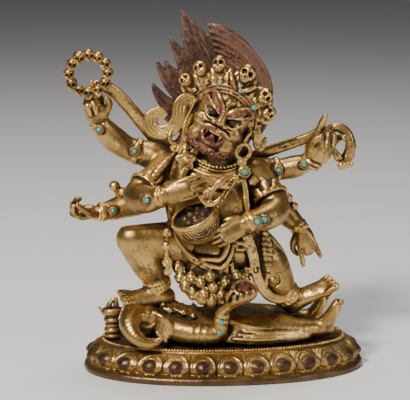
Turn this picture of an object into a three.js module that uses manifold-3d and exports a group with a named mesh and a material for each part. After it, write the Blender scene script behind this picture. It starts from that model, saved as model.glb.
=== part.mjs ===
// A gilt copper figure of a six-armed protector. He stands on an elephant-headed figure that lies on an
// oval lotus base. Sizes are in millimetres: +Z is up, +X is the viewer's right, and the front faces -Y.
// The origin is the centre of the base's underside.
import * as THREE from "three";
import { mergeVertices } from "three/addons/utils/BufferGeometryUtils.js";
import Module from "manifold-3d";

// The lotus base.
const BASE_LENGTH = 150;
const BASE_DEPTH = 84;
const BASE_HEIGHT = 16;
const FOOT_RIM_HEIGHT = 4.4;
const PETAL_INSET = 3.2;
const DECK_INSET = 11.5;
const PETAL_COUNT = 26;
const BEAD_CORD_RADIUS = 0.9;
const OUTLINE_POWER = 2.17;

// The cast figures: their pose is drawn at POSE_HEIGHT, from the deck to the tip of the hair.
const FIGURE_HEIGHT = 172;
const POSE_HEIGHT = 172;
const UNIT = FIGURE_HEIGHT / POSE_HEIGHT;

// Gaps between separately made pieces, and the inlaid stones with their collars.
const CLEARANCE = 0.3;
const STONE_RADIUS = 1.35;
const COLLAR_WALL = 0.5;
const COLLAR_HEIGHT = 0.7;

// Carving sizes on the drawn pose.
const BANGLE_TUBE = 0.95;
const FINGER_RADIUS = 1.6;
const FINGER_LENGTH = 10.4;
const PALM_LENGTH = 10.5;
const TOE_RADIUS = 1.25;
const EARRING_RADIUS = 3.9;
const EARRING_TUBE = 0.9;
const ROSARY_RADIUS = 10;
const ROSARY_SKULL = 2.95;
const ROSARY_COUNT = 12;
const CROWN_SKULL = 3.7;
const GARLAND_HEAD = 3.6;
const CUP_RADIUS = 12.5;
const HEAD_OUT = 44;
const HEAD_RADIUS = 10.5;
const VESSEL_FROM_HEAD = 4.9;

const wasm = await Module();
wasm.setup();
const DEG = Math.PI / 180;
const FRONT = new THREE.Vector3(0, -1, 0);
const UP = new THREE.Vector3(0, 0, 1);
const vec = (x, y, z) => new THREE.Vector3(x, y, z);

// While a solid is rebuilt to be cut out of its neighbour, every form is fatter by this much.
let swell = 0;

// A closed geometry as a solid that can be joined and cut.
function solidOf(geometry) {
  const bare = new THREE.BufferGeometry().setAttribute("position", geometry.getAttribute("position"));
  bare.setIndex(geometry.index);
  const merged = mergeVertices(bare, 1e-4);
  return new wasm.Manifold(
    new wasm.Mesh({
      numProp: 3,
      vertProperties: merged.attributes.position.array,
      triVerts: new Uint32Array(merged.index.array),
    }),
  );
}

const join = (solids) => {
  let parts = solids.flat(Infinity);
  while (parts.length > 1) {
    const next = [];
    for (let i = 0; i < parts.length; i += 2)
      next.push(i + 1 < parts.length ? parts[i].add(parts[i + 1]) : parts[i]);
    parts = next;
  }
  return parts[0];
};

// The same solid with the voids that its forms enclose filled in, as in a casting.
function withoutVoids(solid) {
  const shells = solid.decompose().filter((shell) => shell.volume() > 0);
  return join(shells);
}

// A mesh from a solid.
function meshOf(name, solid, material) {
  const made = solid.getMesh();
  const position = new Float32Array(made.numVert * 3);
  for (let i = 0; i < made.numVert; i++)
    position.set(made.vertProperties.subarray(i * made.numProp, i * made.numProp + 3), i * 3);
  const geometry = new THREE.BufferGeometry()
    .setAttribute("position", new THREE.BufferAttribute(position, 3))
    .setIndex(new THREE.BufferAttribute(new Uint32Array(made.triVerts), 1));
  const mesh = new THREE.Mesh(geometry, material);
  mesh.name = name;
  return mesh;
}

// Closed skin over rings of points, with a pole in front of the first ring and behind the last.
function skin(rings, first, last) {
  const sides = rings[0].length;
  const points = [first, ...rings.flat(), last];
  const index = [];
  const at = (ring, side) => 1 + ring * sides + (side % sides);
  for (let s = 0; s < sides; s++) {
    index.push(0, at(0, s + 1), at(0, s));
    for (let r = 0; r + 1 < rings.length; r++) {
      index.push(at(r, s), at(r, s + 1), at(r + 1, s));
      index.push(at(r, s + 1), at(r + 1, s + 1), at(r + 1, s));
    }
    index.push(points.length - 1, at(rings.length - 1, s), at(rings.length - 1, s + 1));
  }
  const geometry = new THREE.BufferGeometry().setFromPoints(points).setIndex(index);
  return solidOf(geometry);
}

// A limb, lock or ribbon: stations [x, y, z, wide, thin] on the drawn pose. The thin way lies along flat.
function limb(stations, { sides = 6, flat = vec(0, 1, 0), cap = 0.55 } = {}) {
  const centres = stations.map(([x, y, z]) => vec(x, y, z).multiplyScalar(UNIT));
  const rings = centres.map((centre, i) => {
    const before = centres[Math.max(i - 1, 0)];
    const after = centres[Math.min(i + 1, centres.length - 1)];
    const run = after.clone().sub(before).normalize();
    const thinWay = flat.clone().addScaledVector(run, -flat.dot(run)).normalize();
    const wideWay = thinWay.clone().cross(run);
    const wide = stations[i][3] * UNIT + swell;
    const thin = (stations[i][4] ?? stations[i][3]) * UNIT + swell;
    return Array.from({ length: sides }, (_, s) => {
      const turn = ((s + 0.5) / sides) * 2 * Math.PI;
      return centre
        .clone()
        .addScaledVector(wideWay, wide * Math.cos(turn))
        .addScaledVector(thinWay, thin * Math.sin(turn));
    });
  });
  const beyond = (end, inner) => {
    const station = stations[end];
    const reach = Math.min(station[3], station[4] ?? station[3]) * UNIT * cap + swell;
    return centres[end].clone().addScaledVector(centres[end].clone().sub(centres[inner]).normalize(), reach);
  };
  return skin(rings, beyond(0, 1), beyond(stations.length - 1, stations.length - 2));
}

// An ellipsoid at a point of the drawn pose, turned by a quaternion.
function ball([x, y, z], radii, { wide = 8, high = 5, turn } = {}) {
  const [rx, ry, rz] = [radii].flat().length === 3 ? radii : [radii, radii, radii];
  const geometry = new THREE.SphereGeometry(1, wide, high);
  geometry.rotateX(90 * DEG);
  geometry.scale(rx * UNIT + swell, ry * UNIT + swell, rz * UNIT + swell);
  if (turn) geometry.applyQuaternion(turn);
  geometry.translate(x * UNIT, y * UNIT, z * UNIT);
  return solidOf(geometry);
}

// A ring round an axis: a bangle, an earring or a band.
function ring([x, y, z], axis, radius, tube, { around = 12, across = 4, depth = 1 } = {}) {
  const geometry = new THREE.TorusGeometry(radius * UNIT, tube * UNIT + swell, across, around);
  geometry.scale(1, depth, 1);
  geometry.applyQuaternion(new THREE.Quaternion().setFromUnitVectors(UP, axis.clone().normalize()));
  geometry.translate(x * UNIT, y * UNIT, z * UNIT);
  return solidOf(geometry);
}

const mix = (a, b, share) => a.map((value, i) => value + (b[i] - value) * share);
const between = (a, b) => vec(b[0] - a[0], b[1] - a[1], b[2] - a[2]);

// The stations of a limb with bangles on it, each given as [the station before it, its share of the way on].
function banded(stations, bangles) {
  const made = stations.map((station) => [station]);
  for (const [before, share] of bangles) {
    const length = between(stations[before], stations[before + 1]).length();
    for (const [step, grow] of [[-BANGLE_TUBE, 0], [0, BANGLE_TUBE * 1.2], [BANGLE_TUBE, 0]]) {
      const [x, y, z, ...radii] = mix(stations[before], stations[before + 1], share + step / length);
      made[before].push([x, y, z, ...radii.map((radius) => radius + grow)]);
    }
  }
  return made.flat();
}

// Stones: each has a collar on its carrier, a pocket cut in it, and the stone itself in the pocket.
const stones = [];
function stoneForm(centre, out, radius, low, high, dome = 0) {
  const side = Math.abs(out.z) < 0.9 ? UP : vec(1, 0, 0);
  const wideWay = side.clone().cross(out).normalize();
  const highWay = out.clone().cross(wideWay);
  const ringAt = (level, r) =>
    Array.from({ length: 6 }, (_, s) =>
      centre
        .clone()
        .addScaledVector(out, level)
        .addScaledVector(wideWay, r * Math.cos(s * 60 * DEG))
        .addScaledVector(highWay, r * Math.sin(s * 60 * DEG)),
    );
  const pole = (level) => centre.clone().addScaledVector(out, level);
  return skin([ringAt(low, radius), ringAt(high, radius)], pole(low), pole(high + dome));
}
function stone(name, [x, y, z], out, size = 1) {
  const centre = vec(x, y, z).multiplyScalar(UNIT);
  const way = out.clone().normalize();
  const radius = STONE_RADIUS * size;
  const pocket = radius + CLEARANCE;
  stones.push({
    name,
    collar: stoneForm(centre, way, pocket + COLLAR_WALL, -2, COLLAR_HEIGHT),
    pocket: stoneForm(centre, way, pocket, -CLEARANCE, 3 * COLLAR_HEIGHT),
    body: stoneForm(centre, way, radius, 0, COLLAR_HEIGHT, radius * 0.5),
  });
}

// A string of beads, heads or skulls along a curve between two angles, in degrees.
function beads(curve, from, to, count, radius, sides = 6) {
  const steps = 2 * count;
  const stations = Array.from({ length: steps + 1 }, (_, i) => {
    const angle = from + ((to - from) * i) / steps;
    return [...curve(angle * DEG), i % 2 ? radius : radius * 0.55];
  });
  return limb(stations, { sides, flat: FRONT });
}

// A hand: palm, four fingers and a thumb, each finger bent towards the palm by its own angle a joint.
function hand(wrist, along, palm, thumbSide, { size = 1, curls, thumb = 25, fan = 4 }) {
  const way = along.clone().normalize();
  const inwards = palm.clone().addScaledVector(way, -palm.dot(way)).normalize();
  const across = way.clone().cross(inwards).multiplyScalar(thumbSide);
  const start = vec(...wrist);
  const place = (a, c, n) =>
    start.clone()
      .addScaledVector(way, a * size)
      .addScaledVector(across, c * size)
      .addScaledVector(inwards, n * size);
  const station = (point, wide, thin) => [point.x, point.y, point.z, wide * size, (thin ?? wide) * size];
  const palmForm = limb(
    [station(place(-1, 0, 0), 3.7, 3.2), station(place(PALM_LENGTH / 2, 0, 0), 5.4, 3.1),
      station(place(PALM_LENGTH, 0, 0), 5.3, 2.3)],
    { sides: 6, flat: inwards },
  );
  const digit = (root, heading, length, bend, radius) => {
    const stationsOf = [station(root, radius)];
    let point = root.clone();
    for (const joint of [1, 2]) {
      const angle = bend * joint * DEG;
      const step = heading.clone().multiplyScalar(Math.cos(angle)).addScaledVector(inwards, Math.sin(angle));
      point = point.clone().addScaledVector(step, (length * size) / 2);
      stationsOf.push(station(point, radius * (1 - 0.12 * joint)));
    }
    return limb(stationsOf, { sides: 4, flat: across, cap: 0.7 });
  };
  const fingers = curls.map((bend, i) => {
    const spread = (1.5 - i) * fan * DEG;
    const heading = way.clone().addScaledVector(across, Math.tan(spread)).normalize();
    const length = FINGER_LENGTH * [0.95, 1.08, 1, 0.84][i];
    return digit(place(PALM_LENGTH - 1, (1.5 - i) * 2.7, 0), heading, length, bend, FINGER_RADIUS);
  });
  const thumbWay = way.clone().multiplyScalar(0.62).addScaledVector(across, 0.78).normalize();
  const thumbForm = digit(place(3.5, 3.2, 0.4), thumbWay, FINGER_LENGTH * 0.98, thumb, FINGER_RADIUS * 1.15);
  return [palmForm, fingers, thumbForm];
}

// A foot on stations from heel to ball, with five toes fanned out beyond them.
function foot(stations, toeWay, lift, flat) {
  const [x, y, z] = stations[stations.length - 1];
  const way = toeWay.clone().normalize();
  const across = way.clone().cross(flat).normalize();
  const toes = [-2, -1, 0, 1, 2].map((i) => {
    const root = vec(x, y, z).addScaledVector(across, i * 2.1);
    const tip = root.clone().addScaledVector(way, 5.4 - Math.abs(i - 1) * 0.5).addScaledVector(flat, lift);
    const big = i === 2 ? 1.3 : 1;
    return limb(
      [[root.x, root.y, root.z, TOE_RADIUS * big], [tip.x, tip.y, tip.z, TOE_RADIUS * big]],
      { sides: 4, flat },
    );
  });
  return [limb(stations, { flat }), toes];
}

// The head leans towards his left shoulder and is turned a little to his right.
const HEAD_CENTRE = vec(-2, -10, 119);
const HEAD_TURN = new THREE.Quaternion()
  .setFromAxisAngle(vec(0, 1, 0), 29 * DEG)
  .multiply(new THREE.Quaternion().setFromAxisAngle(UP, -12 * DEG))
  .multiply(new THREE.Quaternion().setFromAxisAngle(vec(1, 0, 0), -3 * DEG));
const onHead = (x, y, z) => vec(x, y, z).applyQuaternion(HEAD_TURN).add(HEAD_CENTRE).toArray();
const wayOnHead = (x, y, z) => vec(x, y, z).applyQuaternion(HEAD_TURN).normalize();
// A point of the diadem's arch: an angle from its middle, how far out, and how far forward.
const onArch = (angle, out = 0, forward = 0) => [
  (18 + out) * Math.sin(angle * DEG),
  3 - 13 * Math.cos(angle * DEG) - forward,
  (16.6 + out) * Math.cos(angle * DEG),
];

function head() {
  const line = (points, options) =>
    limb(points.map(([x, y, z, wide, thin]) => [...onHead(x, y, z), wide, thin ?? wide]), options);
  const small = { wide: 6, high: 3, turn: HEAD_TURN };
  const pairs = [-1, 1].map((side) => [
    line([[side * 2, -14.6, 5.4, 1.7], [side * 6.4, -14.4, 8.6, 2.2],
      [side * 12, -10, 10, 1.3]], { sides: 4 }),
    ball(onHead(side * 6.4, -13, 2.4), 3.1, small),
    ball(onHead(side * 9.6, -10.6, -4), [4.4, 4.2, 4.2], small),
    line([[side * 15.2, -1, 5, 2.2, 1.4], [side * 16.6, -1, -3, 2.4, 1.4], [side * 16, -2, -11, 1.6, 1.2]],
      { sides: 4, flat: wayOnHead(1, 0, 0) }),
  ]);
  const lipArc = (drop, reach) =>
    line([-1, -0.5, 0, 0.5, 1].map((share) => [share * 7.2, -12.8 - reach * (1 - share * share),
      -8.4 - drop * Math.sqrt(1.0001 - share * share), 1.5]), { sides: 4 });
  const beard = [-66, -33, 0, 33, 66].map((angle) =>
    ball(onHead(9.4 * Math.sin(angle * DEG), -7.6 * Math.cos(angle * DEG) - 3.6,
      -16 - 1.4 * Math.cos(angle * DEG)), 3,
      { wide: 5, high: 3 }));
  const mouth = ball(onHead(0, -14.2, -8.4), [5.8, 6, 3.8], { wide: 6, high: 4, turn: HEAD_TURN });
  const face = join([
    ball(onHead(0, 0.5, 3), [15.4, 14.2, 17.6], { wide: 10, high: 7, turn: HEAD_TURN }),
    ball(onHead(0, -3.6, -9), [12.2, 10.6, 9.6], { wide: 8, high: 5, turn: HEAD_TURN }),
    line([[0, -13.6, 8, 1.5], [0, -16, 1, 2.6], [0, -16.4, -1, 3]], { sides: 5 }),
    line([[0, -12.4, 7, 1.6, 1.4], [0, -14.2, 10, 2, 1.4], [0, -12.4, 13, 1.2, 1]], { sides: 4 }),
    ...pairs,
    beard,
  ]).subtract(mouth);
  const outwards = (angle) => wayOnHead(Math.sin(angle * DEG), -1, 0);
  const crown = [[-72, 9], [-51, 11], [-30, 12.4], [0, 9.6], [31, 8], [52, 6.4]].map(([angle, out], i) => [
    ball(onHead(...onArch(angle, out, 1)), i === 3 ? CROWN_SKULL * 1.2 : CROWN_SKULL, { wide: 6, high: 4 }),
    line([[...onArch(angle, 0), 2, 1.2], [...onArch(angle, out, 0.6), 2.2, 1.2]],
      { sides: 4, flat: outwards(angle) }),
  ]);
  const leaves = [-62, -41, -15, 15, 41].map((angle) =>
    line([[...onArch(angle, 0.4), 2.6, 1.1], [...onArch(angle, 5), 2.4, 1], [...onArch(angle, 10), 0.5, 0.5]],
      { sides: 4, flat: outwards(angle) }));
  const arch = [-88, -66, -44, -22, 0, 22, 44, 66].map((angle) => [...onArch(angle), 2.3, 1.5]);
  return [
    face,
    lipArc(3.8, 1.4),
    lipArc(-3.2, 1.6),
    line(arch, { sides: 6, flat: wayOnHead(0, -1, 0) }),
    crown,
    leaves,
    ring([-25.9, -10, 109.4], vec(0.5, -1, 0.1), EARRING_RADIUS, EARRING_TUBE, { around: 10, across: 3 }),
    ring([8.4, -15, 102], vec(0.15, -1, 0.1), EARRING_RADIUS, EARRING_TUBE, { around: 10, across: 3 }),
    limb([[-25.5, -10, 104.5, 2.6], [-27.5, -11, 99.5, 2], [-31, -11, 95.5, 1.1]], { sides: 5 }),
    limb([[-15.4, -8, 115, 2], [-20, -9, 114.4, 1.5], [-25.5, -10, 113.2, 1.4]], { sides: 5 }),
    limb([[10.5, -10, 110, 2], [9.4, -13, 107, 1.6], [8.5, -15, 105, 1.4]], { sides: 5 }),
  ];
}

// The ribbons of the diadem: a curl and a long fall on his right, and a short flutter on his left.
function ribbons() {
  const flat = FRONT;
  return [
    limb([[-17, -8, 125, 2.4, 1.3], [-21, -8, 128, 2.6, 1.3], [-23.5, -9, 124, 2.8, 1.4],
      [-25, -10, 117, 2.8, 1.4], [-29.5, -9, 112.6, 2.8, 1.4], [-35, -8, 111.4, 2.8, 1.4],
      [-39, -7, 115, 2.9, 1.4], [-37.6, -7, 120.5, 2.8, 1.4],
        [-33, -7, 121.6, 2.4, 1.3]], { sides: 6, flat }),
    limb([[12, -6, 120, 2.2, 1.4], [15.5, -8, 111, 2.4, 1.4], [15.5, -8, 103, 2.6, 1.4],
      [18, -6, 103.5, 2.4, 1.2], [21.5, -5, 108, 1.2, 0.8]], { sides: 6, flat }),
  ];
}

// The upswept hair: a plate behind the head that breaks into flame tongues towards his right.
function hair() {
  const tongues = [
    [[-6, 6, 165.5], [13, 7, 157], [19, 7.5, 138], 6],
    [[-19, 5, 172], [-3, 6.6, 160], [4, 8, 140], 6.4],
    [[-20.5, 6, 160.5], [-13, 7, 153], [-4, 8, 138], 5.6],
    [[-27.5, 5, 159], [-17, 6.6, 148], [-10, 8, 136], 5.6],
    [[-30.5, 6, 147.5], [-22, 7, 141], [-10, 8, 130], 5.6],
    [[-34, 5, 146], [-25, 6.6, 135], [-14, 8, 126], 5.6],
    [[-36.6, 5, 135], [-28, 7, 127], [-15, 8, 119], 5.4],
    [[-33, 6, 124], [-26, 7, 118], [-14, 8, 112], 4.6],
  ];
  const lock = ([tip, middle, root, width]) =>
    limb([0, 0.35, 0.7, 1].map((t) => {
      const point = mix(mix(root, middle, t), mix(middle, tip, t), t);
      const share = 1 - t;
      return [...point, 0.7 + width * Math.sqrt(share), 0.7 + 3 * Math.sqrt(share)];
    }), { sides: 6, cap: 0.3 });
  const plate = [[1, 8, 104, 14, 3.4], [-2, 8.6, 114, 22, 4.6], [-4, 8.8, 126, 27, 5],
    [-3.6, 8.6, 138, 26, 4.6],
    [-1.6, 8, 149, 19.6, 3.8], [-2.6, 7, 157, 12, 3], [-7, 6, 162.6, 6, 2]];
  return [limb(plate, { sides: 12 }), tongues.map(lock)];
}

// Body, drapery and legs.
const TORSO = [
  [-5, 0, 34, 15, 12], [-5, 0, 44, 20, 16], [-6, -3, 56, 22.5, 19.5], [-6, -4, 68, 22.5, 19],
  [-6, -3, 80, 21, 15.5], [-6, -3, 90, 22, 13.5], [-5, -3, 97, 15.5, 11.5], [-4, -5, 103, 9.5, 9.5],
    [-3.5, -7, 108, 9, 9],
];
const RIGHT_THIGH = [[-12, 0, 47, 13.5], [-26, -5, 52, 12.4], [-38, -9, 55.5, 10.4], [-48, -12, 56, 8.8]];
const RIGHT_SHIN = [[-49.5, -12, 55.5, 8], [-45, -10.5, 49, 9.2], [-40.5, -8, 41, 8.8], [-37, -6, 34, 6.6],
  [-35, -4, 28, 5.9], [-34.5, -4, 23, 6]];
const RIGHT_FOOT = [[-32, -2.5, 22.8, 5, 4], [-38, -4.5, 23.6, 5.6, 4.8], [-46, -8.5, 22, 6, 3.3],
  [-51.5, -10.5, 21.6, 5.6, 2.2]];
const LEFT_LEG = [[4, 0, 50, 13.5], [14, -2, 47.5, 13], [22, -5, 41, 11.4], [28, -4.5, 31, 9],
  [32, -2, 24.5, 6.8],
  [35.5, -1, 19, 6.2]];
const LEFT_FOOT = [[37, -0.4, 15.8, 5.2, 3.8], [42, -1, 19.6, 5.6, 4.6], [50, -2.6, 24, 5.8, 3],
  [55, -3.4, 26.4, 5.4, 2.1]];

function body() {
  const onGarland = (angle) => [-7 + 18 * Math.cos(angle), -13 - 6 * Math.sin(-angle),
    42 + 18 * Math.sin(angle)];
  const garland = beads(onGarland, -178, 8, 10, GARLAND_HEAD);
  const inner = [[-14, -17, 34], [-8, -17.5, 31.5], [-1, -17, 34]].map((centre) =>
    ball(centre, GARLAND_HEAD * 0.95, { wide: 6, high: 3 }));
  return [
    limb(TORSO, { sides: 10 }),
    limb([[-6, -2, 60, 22, 18.5], [-5, -3, 46, 20, 17.5], [-6, -6, 36, 15, 13.5], [-8, -9, 28, 9, 8.5]],
      { sides: 10 }),
    limb(RIGHT_THIGH, { sides: 8 }),
    limb(banded(RIGHT_SHIN, [[3, 0.7]])),
    limb(banded(LEFT_LEG, [[3, 0.75]]), { sides: 8 }),
    foot(RIGHT_FOOT, vec(-1, -0.42, 0), 2.4, UP),
    foot(LEFT_FOOT, vec(0.88, -0.14, 0.47), 1.2, vec(-0.45, 0, 0.89)),
    garland,
    inner,
    // The hem of the skirt, which goes round the left thigh and turns up behind the knee.
    limb([[11, -17, 58, 2.6, 1.6], [14, -17, 46, 2.6, 1.6], [16.5, -14, 34, 2.6, 1.6],
      [21, -12, 25, 2.6, 1.6],
      [28, -9, 21.5, 2.6, 1.6], [36, -4, 27, 2.2, 1.6]], { sides: 6, flat: FRONT }),
    limb([[8, -15.5, 61, 2.6, 2], [16, -15, 57, 2.8, 2], [24, -13.5, 50, 2.6, 2],
      [30, -11, 42, 2, 1.6]], { sides: 6,
      flat: FRONT }),
    limb([[9, -17, 53, 2.6, 2], [17, -16, 49, 2.6, 2], [25, -13.6, 41, 2.4, 2],
      [30, -10.5, 33, 2, 1.6]], { sides: 6,
      flat: FRONT }),
    // The braided tassel beside it, and the one inside the raised knee.
    limb([[20, -13, 58, 2.2], [21.5, -16, 50, 3], [22, -16.5, 42, 3], [22, -15, 36, 1.6]], { sides: 6 }),
    limb([[-32, -18, 61, 1.6], [-32.6, -17.5, 52, 1.3], [-32.6, -16, 44, 2],
      [-32.4, -15, 39, 1]], { sides: 6 }),
    // The belt line under the belly and the bow in its middle.
    limb([[-28, -9, 72, 1.5], [-25.4, -14.4, 56, 1.5], [-18, -18, 46, 1.5],
      [-8, -20, 42.5, 1.4]], { sides: 5 }),
    limb([[-17.4, -20, 51, 1.6, 1.2], [-8.6, -21.8, 49.4, 1.7, 1.2], [-4.2, -22.6, 53.6, 1.7, 1.2]],
      { sides: 6, flat: FRONT }),
    limb([[-13, -20.6, 47.5, 1.5, 1.2], [-5, -21.4, 45.5, 1.6, 1.2], [-2.2, -22.4, 54.6, 1.4, 1.2]],
      { sides: 6, flat: FRONT }),
  ];
}

// The elephant's hide that hangs down his back, with two of its legs held up in the upper hands.
function hide() {
  return [
    limb([[-6, 10, 101, 17, 2.6], [-6, 13.5, 90, 24, 3], [-6, 15, 72, 26, 3.2], [-5, 14, 54, 23, 3],
      [-4, 12, 38, 17, 2.4]], { sides: 12 }),
    limb([[-20, 9, 93, 5.6, 2.2], [-33, 10, 103, 4.6, 1.6], [-46, 8, 118, 3.4, 1.5], [-57, 6, 130, 3.1, 1.5],
      [-65, 3, 134, 2.6, 1.5]], { sides: 6 }),
    limb([[10, 9, 90, 4.6, 2], [22, 9.5, 97, 2.8, 1.6], [34, 8, 101.4, 2.4, 1.5], [46, 5, 106, 2.3, 1.5],
      [53, 2, 110, 2.2, 1.5]], { sides: 6 }),
    limb([[51.5, 2, 106, 1.8], [56, 1.6, 114.6, 2.2], [62, 2, 116.6, 2.4], [67, 2, 110, 2.8],
      [67.6, 2, 101, 3], [64.5, 2, 95, 3.4]],
      { sides: 6 }),
    [[60.5, 1, 95.5], [62.6, 0, 91.6], [66.4, 0.6, 92.4]].map((centre) => ball(centre, 2.4,
      { wide: 6, high: 4 })),
    limb([[58, 1, 100.5, 1.5], [60.5, 1, 96.5, 2]], { sides: 5 }),
  ];
}

// Arms, each from the shoulder to the wrist.
const ARMS = {
  upperRight: [[-26, 3, 91, 8.4], [-38, 5, 97, 7.6], [-49.5, 6, 100.5, 6.6], [-57, 5.5, 105.5, 7.2],
    [-62, 4, 111, 6], [-66, 2.5, 116, 4.2]],
  upperLeft: [[14, 3, 88, 8], [24, 6, 88.4, 6.4], [31, 6, 88.6, 5.9], [38, 5.4, 90, 6], [43, 4.2, 91.8, 5],
    [46.8, 3, 94, 4]],
  middleRight: [[-28, 6, 82, 8], [-42, 10, 72, 7.4], [-53, 10, 69, 6.8], [-60, 8, 67.4, 5.4],
    [-67, 6, 66.4, 3.9]],
  middleLeft: [[15, 6, 80, 8], [25, 10, 71, 7.4], [33, 10, 64.6, 6.6], [38, 8, 60, 5.2],
    [42.4, 6, 55.6, 3.9]],
  frontRight: [[-29, -3, 91, 8.6], [-39, -6, 84.5, 8.2], [-46, -12, 79, 7.8], [-43, -21, 78.6, 7.4],
    [-37.5, -26.5, 80, 5.8], [-33.5, -29.5, 81.8, 4.6]],
  frontLeft: [[15, -3, 88, 8.4], [22, -6, 80, 8], [26, -12, 71.6, 7.6], [21.5, -20, 68.4, 7],
    [14, -26, 67.6, 5.6],
    [8, -29.5, 66.8, 4.4]],
};

function arms() {
  const armlets = { upperRight: [[1, 0.7]], upperLeft: [[1, 0.6]] };
  const limbs = Object.entries(ARMS).map(([name, stations]) => {
    const wrist = [stations.length - 2, 0.7];
    return limb(banded(stations, [...(armlets[name] ?? []), wrist]),
      { sides: 6, flat: UP.clone().add(vec(0, 1, 0)) });
  });
  // Knots of the snakes that he wears on his arms.
  const knots = [[-57.5, 8, 80.5, 3], [-53, 9, 77, 2.6], [35, 9, 71.5, 3], [38.5, 8, 68, 2.4],
    [-39, -7, 92, 3.4],
    [-34, -9, 97, 3], [16.5, -12, 87, 3]].map(([x, y, z, r]) => ball([x, y, z], r, { wide: 6, high: 4 }));
  return [
    limbs,
    knots,
    limb([[-54, 9, 73, 1.8], [-56, 8.5, 77.5, 1.6], [-57.5, 8, 80, 1.8]], { sides: 5 }),
    hand([-66, 2.5, 116], vec(-0.18, -0.14, 1), vec(0.25, -1, 0), -1,
      { size: 0.98, curls: [9, 12, 70, 74], thumb: 30 }),
    hand([46.8, 3, 94], vec(0.42, -0.2, 1), vec(0.2, -1, 0), 1, { size: 0.95, curls: [10, 52, 60, 40],
      thumb: 45 }),
    hand([-67, 6, 66.4], vec(-1, -0.15, 0.02), vec(0, 0, 1), -1, { size: 0.98, curls: [34, 40, 44, 48],
      thumb: 40 }),
    limb([[-71.5, 4, 67, 1.5], [-75, 4, 74, 1.3], [-76.6, 4, 80.5, 1.2], [-81, 4, 84, 1.1],
      [-84.4, 3.6, 87, 0.8]],
      { sides: 5 }),
    hand([42.4, 6, 55.6], vec(0.34, -0.12, -1), vec(0, -1, 0.1), 1, { size: 0.98, curls: [2, 74, 76, 3],
      thumb: 52 }),
    hand([-33.5, -29.5, 81.8], vec(0.92, -0.22, 0.33), vec(-0.1, 1, -0.1), -1,
      { size: 1.08, curls: [14, 16, 18, 22], thumb: 30 }),
    hand([8, -29.5, 66.8], vec(-0.88, -0.24, -0.42), vec(-0.3, 1, -0.3), 1,
      { size: 1, curls: [12, 14, 18, 20], thumb: 26 }),
  ];
}

// What he holds: the rosary of skulls, the skull cup and the chopper over it.
function attributes() {
  const centre = [-70.7, -4, 141.4];
  const onRosary = (angle) =>
    [centre[0] + ROSARY_RADIUS * Math.cos(angle), centre[1], centre[2] + ROSARY_RADIUS * Math.sin(angle)];
  const rosary = [-90, 90].map((from) => beads(onRosary, from - 3, from + 183, ROSARY_COUNT / 2,
    ROSARY_SKULL, 5));
  const cupAxis = vec(-0.22, -0.42, 0.88).normalize();
  const cupTurn = new THREE.Quaternion().setFromUnitVectors(UP, cupAxis);
  const onCup = (r, level) => vec(r, 0, level).multiplyScalar(CUP_RADIUS);
  const profile = [[0, -0.98], [0.62, -0.78], [0.94, -0.34], [1.02, 0], [0.86, 0.02], [0.7, -0.22],
    [0, -0.3]];
  const bowl = new THREE.LatheGeometry(profile.map(([r, level]) => {
    const point = onCup(r, level);
    return new THREE.Vector2(point.x * UNIT + (r > 0.01 ? swell : 0), point.z * UNIT);
  }), 14);
  bowl.rotateX(90 * DEG);
  bowl.applyQuaternion(cupTurn);
  bowl.translate(-18 * UNIT, -30 * UNIT, 71 * UNIT);
  const chopper = limb([[-21, -34, 76, 0.7, 2.6], [-14, -35, 73.4, 0.9, 3.4], [-7, -35, 74.4, 0.7, 2.6]],
    { sides: 6, flat: UP });
  return [
    rosary,
    solidOf(bowl),
    ball([-19, -31, 71.4], [8.8, 6.4, 5], { wide: 8, high: 5 }),
    chopper,
    limb([[-14, -34.6, 75, 1.5], [-13, -32.6, 84, 1.9], [-6, -32, 89, 2.8],
      [-2, -31.6, 91.6, 1.4]], { sides: 6 }),
  ];
}

// Necklace, collar leaf and the straps on the chest.
function chest() {
  return [
    limb([[-18, -9, 101, 1.5], [-12, -14, 96, 1.7], [-5, -15.8, 93.6, 1.7], [4, -14.6, 94.4, 1.7],
      [10.5, -10, 98, 1.5]], { sides: 5 }),
    limb([[-14, -10, 105, 4, 2.6], [-22, -12, 99, 5, 3],
      [-28, -12, 91, 4.4, 2.6]], { sides: 8, flat: FRONT }),
    limb([[-21.6, -14, 102, 0.8], [-21.6, -15.6, 98, 3.6, 1.4],
      [-21, -15.6, 95, 2.6, 1.4]], { sides: 6, flat: FRONT }),
    ball([9.2, -14.5, 91.4], 3.2, { wide: 7, high: 4 }),
    ball([14, -12.5, 86.4], 2.8, { wide: 6, high: 4 }),
    limb([[9.2, -14.5, 88, 1.2], [10, -14.4, 80, 1.3], [10.2, -17.6, 71, 1.4]], { sides: 5 }),
    limb([[5.4, -15.6, 89, 1.2], [0, -18.2, 80, 1.2], [-5, -22.6, 73, 1.2]], { sides: 5 }),
    // The snake that crosses his right shoulder.
    limb([[-28, -9.6, 99, 2], [-33, -12, 94, 2.6], [-37, -13, 88.5, 2.6], [-36, -14.6, 84, 2]], { sides: 6 }),
  ];
}

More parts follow.
